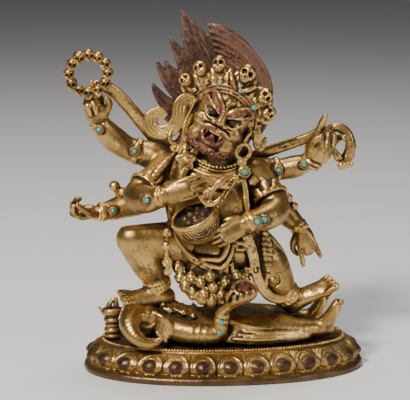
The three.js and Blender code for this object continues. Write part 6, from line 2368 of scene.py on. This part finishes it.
class Shading:
    """Builds the shader groups and the materials."""

    def __init__(self) -> None:
        """Builds the shared groups once."""
        self.wear_group = self._wear_group()
        self.marks_group = self._marks_group()

    @staticmethod
    def _wear_group() -> bpy.types.NodeTree:
        """Masks of dirt and painted shade in hollows, of gilding rubbed off high places, and of a gold tone
        that varies at random and darkens as painted shade.

        Returns:
            The node group.
        """
        tree = bpy.data.node_groups.new("gilding_wear", "ShaderNodeTree")
        w = Wiring(tree)
        outputs = dict.fromkeys(("Grime_and_shade", "Copper", "Tone_and_shade", "Height"), "Float")
        start, end = w.ends({"Wear": "Float", "Grime_and_shade": "Float"}, outputs)
        patchy = w.noise(115, 6, 0.62)
        grain = w.noise(1400, 4, 0.6)
        broad = w.noise(48, 3)
        shade = w.named("patina_and_shade_mask")
        patina_and_shade_mask = w.math("MULTIPLY", shade, start["Grime_and_shade"])
        uneven = w.math("ADD", w.about(patchy, 0.5, 2.0), w.about(grain, 0.5, 1.1))
        grime_and_shade = w.step(w.math("ADD", patina_and_shade_mask, uneven), 0.03, 0.52)
        spots = w.step(w.math("ADD", w.noise(520, 3), w.about(broad, 0.5, 0.4)), 0.61, 0.69)
        worn = w.math("ADD", broad, w.about(patchy, 0.5, 0.8))
        worn = w.math("ADD", worn, w.math("SUBTRACT", start["Wear"], 0.5))
        # Painted shade: the gold tone darkens in hollows and crowded places.
        pale = w.math("SUBTRACT", 0.4, w.math("MULTIPLY", shade, 0.9))
        w.feed(end.inputs["Grime_and_shade"], w.math("MAXIMUM", grime_and_shade, w.math("MULTIPLY", spots, 0.75)))
        w.feed(end.inputs["Copper"], w.step(worn, 0.42, 0.66))
        w.feed(end.inputs["Tone_and_shade"], w.math("ADD", w.about(broad, 0.5, 2.2), pale, True))
        w.feed(end.inputs["Height"], w.math("ADD", w.math("MULTIPLY", grain, 0.6),
                                            w.math("MULTIPLY", patchy, 0.9)))
        return tree

    @staticmethod
    def _marks_group() -> bpy.types.NodeTree:
        """Fine scratches and pits shared by the metal and the stones.

        Returns:
            The node group.
        """
        tree = bpy.data.node_groups.new("fine_marks", "ShaderNodeTree")
        w = Wiring(tree)
        end = w.ends({}, {"Marks": "Float"})[1]
        stretch = w.node("ShaderNodeMapping", {
            "Vector": w.node("ShaderNodeTexCoord").outputs["Object"],
            "Rotation": (0.4, 0.3, 0.7),
            "Scale": (1.0, 0.25, 2.2),
        })
        scratches = w.node("ShaderNodeTexNoise", {"Vector": stretch.outputs[0], "Scale": 1900, "Detail": 2})
        pits = w.step(w.noise(760, 2), 0.72, 0.62)
        w.feed(end.inputs["Marks"], w.math("ADD", w.math("MULTIPLY", scratches.outputs[0], 0.25), pits))
        return tree

    @staticmethod
    def _new(name: str) -> tuple[bpy.types.Material, Wiring, bpy.types.Node]:
        """A new material with its wiring and its shader.

        Args:
            name: what it is called.

        Returns:
            The material, its wiring and its shader node.
        """
        material = bpy.data.materials.new(name)
        material.use_nodes = True
        material.node_tree.nodes.clear()
        w = Wiring(material.node_tree)
        shader = w.node("ShaderNodeBsdfPrincipled")
        w.node("ShaderNodeOutputMaterial", {"Surface": shader.outputs[0]})
        return material, w, shader

    @staticmethod
    def _relief(w: Wiring, shader: bpy.types.Node, height: Socket, strength: float, depth: float) -> None:
        """Gives a shader a fine relief.

        Args:
            w: the material's wiring.
            shader: its shader.
            height: the relief's height, about 0 to 1.
            strength: how strongly it shows.
            depth: its depth in metres.
        """
        bump = w.node("ShaderNodeBump", {"Strength": strength, "Distance": depth, "Height": height})
        w.feed(shader.inputs["Normal"], bump.outputs["Normal"])

    def gilded(self, name: str, look: Gilding) -> bpy.types.Material:
        """Fire-gilded copper with dark oxide and painted shade in its hollows, painted where the piece's
        masks say.

        Args:
            name: what it is called.
            look: the values of the finish.

        Returns:
            The material.
        """
        material, w, shader = self._new(name)
        wear = w.node("ShaderNodeGroup", node_tree=self.wear_group)
        w.feed(wear.inputs["Wear"], look.wear)
        w.feed(wear.inputs["Grime_and_shade"], look.grime_and_shade)
        copper, grime_and_shade = wear.outputs["Copper"], wear.outputs["Grime_and_shade"]
        marks = w.node("ShaderNodeGroup", node_tree=self.marks_group).outputs["Marks"]
        chipped = w.step(w.math("ADD", w.noise(420, 4), look.paint_wear - 0.5), 0.62, 0.5)
        red = w.math("MULTIPLY", w.named("red"), chipped)
        dark = w.math("MULTIPLY", w.named("dark"), 0.94)
        # Painted shade: hollows and crowded places turn to deep gold and to the dark oxide colour, and
        # become less metallic.
        colour = w.mix(wear.outputs["Tone_and_shade"], look.deep_and_shaded_gold, look.gold)
        colour = w.mix(w.math("MULTIPLY", copper, 0.8), colour, look.copper)
        colour = w.mix(w.math("MULTIPLY", grime_and_shade, 0.93), colour, look.patina_and_shade_colour)
        colour = w.mix(red, colour, w.mix(w.math("MULTIPLY", grime_and_shade, 0.7), look.red, look.patina_and_shade_colour))
        w.feed(shader.inputs["Base Color"], w.mix(dark, colour, look.black))
        cover = w.math("MAXIMUM", w.math("MULTIPLY", grime_and_shade, 0.55), w.math("MULTIPLY", red, 0.8))
        cover = w.math("MAXIMUM", cover, w.math("MULTIPLY", dark, 0.3))
        w.feed(shader.inputs["Metallic"], w.math("SUBTRACT", look.metallic, cover))
        rough = w.math("ADD", look.roughness, w.math("MULTIPLY", grime_and_shade, 0.3))
        rough = w.math("ADD", rough, w.math("MULTIPLY", marks, 0.1))
        w.feed(shader.inputs["Roughness"], w.math("ADD", rough, w.math("MULTIPLY", red, 0.16)))
        height = w.math("SUBTRACT", wear.outputs["Height"], w.math("MULTIPLY", marks, 0.35))
        self._relief(w, shader, height, 0.35, look.relief)
        return material

    def stone(self, name: str, look: Gemstone) -> bpy.types.Material:
        """Turquoise with green patches and dark veins.

        Args:
            name: what it is called.
            look: the values of the finish.

        Returns:
            The material.
        """
        material, w, shader = self._new(name)
        marks = w.node("ShaderNodeGroup", node_tree=self.marks_group).outputs["Marks"]
        colour = w.mix(w.step(w.noise(260, 3), 0.42, 0.58), look.blue, look.green)
        vein = w.step(w.math("ABSOLUTE", w.math("SUBTRACT", w.noise(620, 4), 0.5)), 0.035, 0.0)
        w.feed(shader.inputs["Base Color"], w.mix(w.math("MULTIPLY", vein, 0.7), colour, look.vein))
        w.feed(shader.inputs["Roughness"], w.math("ADD", look.roughness, w.math("MULTIPLY", marks, 0.2)))
        self._relief(w, shader, marks, 0.2, look.relief)
        return material

    def plain(self, name: str, colour: Colour) -> bpy.types.Material:
        """The matt floor."""
        material, w, shader = self._new(name)
        darker = tuple(c * 0.985 for c in colour[:3]) + (1,)
        w.feed(shader.inputs["Base Color"], w.mix(w.noise(2, 2), colour, darker))
        w.feed(shader.inputs["Roughness"], 0.85)
        return material


@dataclass
class Studio:
    """The camera, the floor and the soft lights."""

    eye: tuple[float, float, float] = (-0.0809, -0.8812, 0.2586)
    target: tuple[float, float, float] = (-0.010, 0.0, 0.090)
    lens: float = 149.4

    def camera(self) -> None:
        """Sets up the camera of the photograph."""
        data = bpy.data.cameras.new("camera")
        data.lens = self.lens
        data.sensor_width = 36.0
        camera = placed("camera", data)
        camera.location = self.eye
        camera.rotation_euler = (Vector(self.target) - Vector(self.eye)).to_track_quat("-Z", "Y").to_euler()
        bpy.context.scene.camera = camera

    def floor(self, material: bpy.types.Material) -> None:
        """A wide pale floor.

        Args:
            material: what it is made of.
        """
        mesh = bpy.data.meshes.new("floor")
        half = 9.0
        corners = [(-half, -half, 0), (half, -half, 0), (half, half, 0), (-half, half, 0)]
        mesh.from_pydata(corners, [], [(0, 1, 2, 3)])
        mesh.materials.append(material)
        placed("floor", mesh)

    def lights(self) -> None:
        """A soft key from the upper left, a fill from the right and a top light."""
        for name, place, size, power, colour in (
            ("key", (-0.55, -0.75, 0.95), 0.22, 19.5, (1.0, 0.94, 0.84)),
            ("fill", (0.9, -0.6, 0.45), 0.26, 2.3, (1.0, 0.97, 0.93)),
            ("top", (0.05, 0.25, 1.1), 0.5, 6.5, (1.0, 0.97, 0.93)),
        ):
            data = bpy.data.lights.new(name, "AREA")
            data.energy = power
            data.color = colour
            data.size = size
            light = placed(name, data)
            light.location = place
            light.rotation_euler = (Vector(self.target) - Vector(place)).to_track_quat("-Z", "Y").to_euler()
        world = bpy.data.worlds.new("studio")
        world.use_nodes = True
        back = world.node_tree.nodes["Background"]
        back.inputs["Color"].default_value = (0.62, 0.64, 0.68, 1)
        back.inputs["Strength"].default_value = 0.11
        bpy.context.scene.world = world


@dataclass
class Group:
    """The whole group: which blocks of clay make which piece."""

    body: Body = field(default_factory=Body)
    head: Head = field(default_factory=Head)
    garments: Garments = field(default_factory=Garments)
    attributes: Attributes = field(default_factory=Attributes)
    elephant: Elephant = field(default_factory=Elephant)
    hair: Hair = field(default_factory=Hair)
    base: Base = field(default_factory=Base)

    def blocks(self) -> dict[str, list[Clay]]:
        """All blocks of clay by the name of the piece that they make.

        Returns:
            The clay of each piece.
        """
        return {
            "protector_torso_and_arms": [self.body.sculpt_upper()],
            "protector_legs": [self.body.sculpt_lower()],
            "protector_hands": [hand.sculpt() for hand in self.body.arms.hands().values()],
            "protector_head_and_crown": [self.head.sculpt()],
            "protector_skirt_and_garland": [self.garments.sculpt()],
            "protector_scarf_and_necklaces": [self.garments.sculpt_chest()],
            "protector_ribbons_and_earrings": [Trimmings().sculpt()],
            "protector_elephant_hide": [Hide().sculpt()],
            "protector_skull_cup_and_chopper": [self.attributes.sculpt()],
            "flaming_hair_locks": [self.hair.sculpt()],
            "trampled_elephant_figure": [self.elephant.sculpt()],
            "offering_vessel_cast": [Vessel().sculpt()],
        }

    def build(self, finishes: dict[Finish, bpy.types.Material]) -> list[Piece]:
        """Casts every piece.

        Args:
            finishes: the materials by finish.

        Returns:
            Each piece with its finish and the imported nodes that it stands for.
        """
        blocks = self.blocks()
        for clays in blocks.values():
            for clay in clays:
                OCCLUSION_SHADE.add(clay)
        OCCLUSION_SHADE.fill((-64, -31, -4), (64, 31, 0))
        OCCLUSION_SHADE.settle()
        paint = {
            "protector_torso_and_arms": {"red": self.body.collar_red},
            "protector_head_and_crown": {"red": self.head.red, "dark": self.head.dark},
            "protector_skull_cup_and_chopper": {"dark": self.attributes.dark},
            "trampled_elephant_figure": {"red": self.elephant.red},
            "flaming_hair_locks": {"red": self.hair.red},
        }
        stands_for = {
            "protector_torso_and_arms": ("protector_figure",),
            "flaming_hair_locks": ("flaming_hair",),
            "trampled_elephant_figure": ("trampled_elephant",),
            "offering_vessel_cast": ("offering_vessel",),
        }
        made = []
        for name, clays in blocks.items():
            finish = Finish.HAIR if name == "flaming_hair_locks" else Finish.GILT
            piece = cast(name, clays, finishes[finish], paint.get(name))
            made.append((piece, finish, stands_for.get(name, ())))
        made.append((self.base.build(finishes[Finish.BASE]), Finish.BASE, ("lotus_base",)))
        made += self._strung(finishes[Finish.GILT], finishes[Finish.BASE])
        for place in stone_places():
            stone = cabochon(place, place.node + "_cabochon", finishes[Finish.STONE])
            made.append((stone, Finish.STONE, (place.node,)))
        for letter, centre in (("a", (-3.4, -28.2, 14)), ("b", (-4.6, -28.4, 8.6))):
            name = "turquoise_elephant_wrist_" + letter
            stone = cabochon(StonePlace(name, centre, (0, -1, 0.1), 1.35), name, finishes[Finish.STONE])
            made.append((stone, Finish.STONE, ()))
        return made

    def _strung(self, gilt: bpy.types.Material, base: bpy.types.Material) -> list[Piece]:
        """The bead row of the base and the rosary of skulls in the upper right hand.

        Args:
            gilt: the finish of the skulls.
            base: the finish of the beads.

        Returns:
            The two strings as pieces.
        """
        strung = Strung()
        voxel = 0.42
        bead = Clay((-1.4, -1.4, -1.4), (1.4, 1.4, 1.4), voxel)
        bead.ball((0, 0, 0), 0.88)
        grain = small_form(bead, "bead_form", base)
        cord = self.base.outline(self.base.turns(240), self.base.bead_inset)
        cord = np.concatenate([cord, np.full((len(cord), 1), BASE_HEIGHT + 0.1 - DECK)], 1)
        row = strung.string("lotus_base_beads", cord, grain, 208, 0.07, 0.3, base)
        head = Clay((-5, -5, -5), (5, 5, 5), voxel)
        skull(head, (0, 0, 0.4), 2.95, FRONT, UP)
        small = small_form(head, "skull_form", gilt)
        ring = arc((-70.7, -4, 141.4), (1, 0, 0), UP, 10, 0, 354, 60)
        rosary = strung.string("protector_skull_rosary", ring, small, 12, 0.05, 0.22, gilt)
        for form in (grain, small):
            bpy.data.objects.remove(form)
        return [(row, Finish.BASE, ()), (rosary, Finish.GILT, ())]


def main() -> None:
    """Builds the studio and the group and hands every piece to the frame."""
    logging.basicConfig(level=logging.INFO, format="%(name)s %(message)s")
    shading = Shading()
    studio = Studio()
    studio.camera()
    studio.lights()
    studio.floor(shading.plain("studio_floor", (0.80, 0.81, 0.83, 1)))
    painted = Gilding(
        gold=(0.46, 0.27, 0.19, 1),
        deep_and_shaded_gold=(0.20, 0.105, 0.075, 1),
        copper=(0.17, 0.105, 0.085, 1),
        red=(0.185, 0.085, 0.057, 1),
        paint_wear=0.5,
        grime_and_shade=1.3,
    )
    bright = Gilding(black=(0.062, 0.030, 0.020, 1), wear=0.20, grime_and_shade=0.6)
    finishes = {
        Finish.GILT: shading.gilded("worn_gilding", Gilding()),
        Finish.HAIR: shading.gilded("red_painted_hair", painted),
        Finish.BASE: shading.gilded("gilt_base", bright),
        Finish.STONE: shading.stone("turquoise_stone", Gemstone()),
    }
    for piece, finish, nodes in Group().build(finishes):
        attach(piece, "root")
        if nodes:
            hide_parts(*nodes)


if __name__ == "__main__":
    main()
